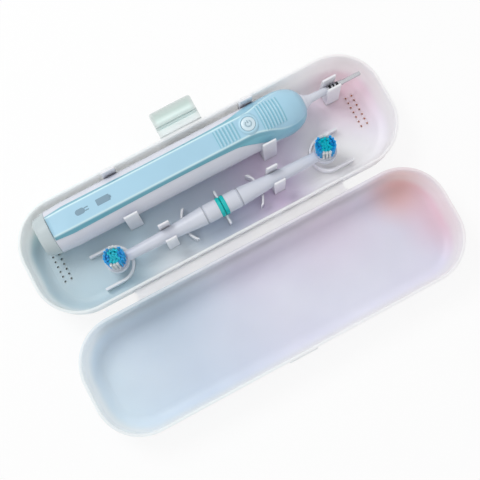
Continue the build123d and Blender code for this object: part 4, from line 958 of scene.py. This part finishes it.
# each ring of tufts: its radius, how many tufts, a tuft's radius, its length and its first turn
TUFT_RINGS = (
    (0.0, 1, 0.62, 8.2, 0.0),
    (1.60, 6, 0.62, 8.3, 0.3),
    (3.15, 12, 0.60, 8.7, 0.1),
    (4.70, 18, 0.58, 9.1, 0.174),
)
TEAL_RADIUS = 3.0
OUTER_RADIUS = 4.0
COLOUR_TURN = 0.35
OUTER_BLUE_FROM = 0.62
INNER_BLUE_FROM = 0.86
STRANDS_PER_TUFT = 15
STRAND_SIDES = 4
STRAND_RADIUS = 0.19
STRAND_TURN = 2.39996
STRAND_FOOT_SHARE = 0.8
STRAND_LEAN = 0.5
STRAND_SPREAD = 0.055
LEAN_UNEVEN = 0.1
STRAND_UNEVEN = 0.22
STRAND_SEED = 7
TUFT_COLOURS = {
    "teal": (0.000, 0.800, 1.000), "blue": (0.000, 0.400, 1.000), "white": (0.880, 0.930, 0.950),
}
NYLON_CLOUDS = 1400.0
NYLON_TONES = (0.85, 1.25)
NYLON_ROUGHNESS = 0.32
NYLON_SPECULAR = 0.3
NYLON_SCATTER = 0.6
NYLON_SCATTER_DEPTH = 0.002


def tuft_colour(radius, turn):
    """Which nylon a tuft is of, from its place on the disc."""
    if radius < TEAL_RADIUS:
        return "teal"
    along_head = abs(math.cos(turn + COLOUR_TURN))
    if radius > OUTER_RADIUS:
        return "blue" if along_head > OUTER_BLUE_FROM else "white"
    return "blue" if along_head > INNER_BLUE_FROM else "teal"


def nylon(name, colour):
    """Glossy nylon, uneven in tone from strand to strand."""
    finish, tree, shader, place = shader_tree(name)
    uneven = cloud_factor(tree, place, NYLON_CLOUDS, *NYLON_TONES)
    tree.links.new(mixed(tree, "MULTIPLY", 1.0, colour, uneven), shader.inputs["Base Color"])
    shader.inputs["Roughness"].default_value = NYLON_ROUGHNESS
    shader.inputs["Specular IOR Level"].default_value = NYLON_SPECULAR
    milky(tree, shader, NYLON_SCATTER, NYLON_SCATTER_DEPTH)
    return finish


def level_turn(turn):
    """A level direction at a turn from the case's length."""
    return Vector((math.cos(turn), math.sin(turn), 0.0))


def add_tuft(shape, centre, tuft_radius, length, turn, draw):
    """Strands in a round tuft that leans outward, each a little longer or shorter."""
    for strand in range(STRANDS_PER_TUFT):
        reach = tuft_radius * math.sqrt((strand + 0.5) / STRANDS_PER_TUFT)
        offset = level_turn(strand * STRAND_TURN + turn) * reach
        height = length + draw.uniform(-STRAND_UNEVEN, STRAND_UNEVEN)
        lean = offset * STRAND_LEAN + centre * STRAND_SPREAD
        lean.x += draw.uniform(-LEAN_UNEVEN, LEAN_UNEVEN)
        lean.y += draw.uniform(-LEAN_UNEVEN, LEAN_UNEVEN)
        strand_verts = bmesh.ops.create_cone(
            shape, cap_ends=True, segments=STRAND_SIDES, radius1=STRAND_RADIUS,
            radius2=STRAND_RADIUS, depth=height,
        )["verts"]
        foot = centre + offset * STRAND_FOOT_SHARE
        bmesh.ops.translate(shape, verts=strand_verts, vec=foot + Vector((0, 0, height / 2)))
        tips = [vertex for vertex in strand_verts if vertex.co.z > height / 2]
        bmesh.ops.translate(shape, verts=tips, vec=lean)


nylons = {name: nylon(f"{name}_nylon", colour) for name, colour in TUFT_COLOURS.items()}
draw = random.Random(STRAND_SEED)
for hand, side in (("left", -1), ("right", 1)):
    shapes = {name: bmesh.new() for name in TUFT_COLOURS}
    for ring_radius, tufts, tuft_radius, length, first_turn in TUFT_RINGS:
        for tuft in range(tufts):
            turn = first_turn + math.tau * tuft / tufts
            shape = shapes[tuft_colour(ring_radius, turn)]
            add_tuft(shape, level_turn(turn) * ring_radius, tuft_radius, length, turn, draw)
    for name, shape in shapes.items():
        bmesh.ops.translate(
            shape, verts=shape.verts, vec=(side * DISC_X, HEAD_PLACE.y, TUFT_FOOT)
        )
        bmesh.ops.rotate(
            shape, verts=shape.verts, cent=HEAD_PLACE, matrix=Matrix.Rotation(-HEAD_ROLL, 3, "X")
        )
        bmesh.ops.scale(shape, verts=shape.verts, vec=(MM, MM, MM))
        tufts_piece = new_piece(f"{hand}_{name}_tufts", shape)
        tufts_piece.data.materials.append(nylons[name])
        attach(tufts_piece, f"{hand}_disc")
        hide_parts(f"{hand}_bristles")

# ---------------------------------------------------------------- metal pieces
# The drive shaft is stainless steel with three bands of painted shade in the clip, and the pins,
# the rocker, the cell's contacts and the motor's can are plain steel. The pinion and the shaft's
# bearing are brass, and the charging coil is wound of copper wire.
SHAFT_SHADE_BANDS = ((0.0803, 0.0817), (0.0826, 0.0836), (0.0845, 0.0860))
SHAFT_SHADE_COLOUR = (0.045, 0.045, 0.050)
SHAFT_COLOUR = (0.62, 0.63, 0.66)
STEEL_COLOUR = (0.58, 0.58, 0.60)
BRASS_COLOUR = (0.72, 0.52, 0.22)
COPPER_COLOUR = (0.72, 0.36, 0.20)
METAL_LINES = 500.0
METAL_LINE_DISTORTION = 1.5
METAL_LINE_SHARE = 0.25


def metal(name, colour, roughness, shade_bands=()):
    """Drawn or turned metal, with fine lines across its length and bands of painted shade where given."""
    finish, tree, shader, place = shader_tree(name)
    lines = tree.nodes.new("ShaderNodeTexWave")
    lines.inputs["Scale"].default_value = METAL_LINES
    lines.inputs["Distortion"].default_value = METAL_LINE_DISTORTION
    tree.links.new(place, lines.inputs["Vector"])
    tone = mixed(tree, "MULTIPLY", METAL_LINE_SHARE, colour, lines.outputs["Color"])
    for start, end in shade_bands:
        tone = mixed(tree, "MIX", band_factor(tree, place, start, end), tone, SHAFT_SHADE_COLOUR)
    tree.links.new(tone, shader.inputs["Base Color"])
    shader.inputs["Metallic"].default_value = 1.0
    shader.inputs["Roughness"].default_value = roughness
    return finish


shaft_finish = metal("shaft_steel", SHAFT_COLOUR, roughness=0.22, shade_bands=SHAFT_SHADE_BANDS)
steel_finish = metal("plain_steel", STEEL_COLOUR, roughness=0.28)
brass_finish = metal("brass", BRASS_COLOUR, roughness=0.25)
copper_finish = metal("copper_wire", COPPER_COLOUR, roughness=0.3)
finish_node("drive_shaft", shaft_finish)
for node in ("rocker", "cell_contacts", "motor", "left_disc_pin", "right_disc_pin"):
    finish_node(node, steel_finish)
for node in ("motor_pinion", "shaft_bearing"):
    finish_node(node, brass_finish)
finish_node("charging_coil", copper_finish)

# ---------------------------------------------------------------- inner plastic and rubber
# The chassis, the crank wheel, the switch and the heads' drive stems are unpainted plastic,
# the seals black rubber. The cell wears a green sleeve, and the board is green too, with two
# clear lamps on it.
INNER_COLOUR = (0.55, 0.55, 0.53)
SEAL_COLOUR = (0.035, 0.035, 0.038)
SLEEVE_COLOUR = (0.05, 0.28, 0.12)
BOARD_COLOUR = (0.02, 0.16, 0.07)
LAMP_COLOUR = (0.75, 0.78, 0.70)

inner_finish = plain_plastic("inner_plastic", INNER_COLOUR, roughness=0.45, unevenness=0.06)
for node in ("chassis", "push_switch", "crank_wheel", "left_drive_stem", "right_drive_stem"):
    finish_node(node, inner_finish)
seal_finish = plain_plastic("seal_rubber", SEAL_COLOUR, roughness=0.6, grain=1800.0, depth=0.2)
for node in ("end_cap_seal", "shaft_seal"):
    finish_node(node, seal_finish)
sleeve_finish = plain_plastic("cell_sleeve", SLEEVE_COLOUR, roughness=0.3)
finish_node("rechargeable_cell", sleeve_finish)
board_finish = plain_plastic(
    "circuit_board", BOARD_COLOUR, roughness=0.35, grain=500.0, depth=0.1, unevenness=0.25
)
finish_node("circuit_board", board_finish)
finish_node("indicator_leds", plain_plastic("lamp_lens", LAMP_COLOUR, roughness=0.15))
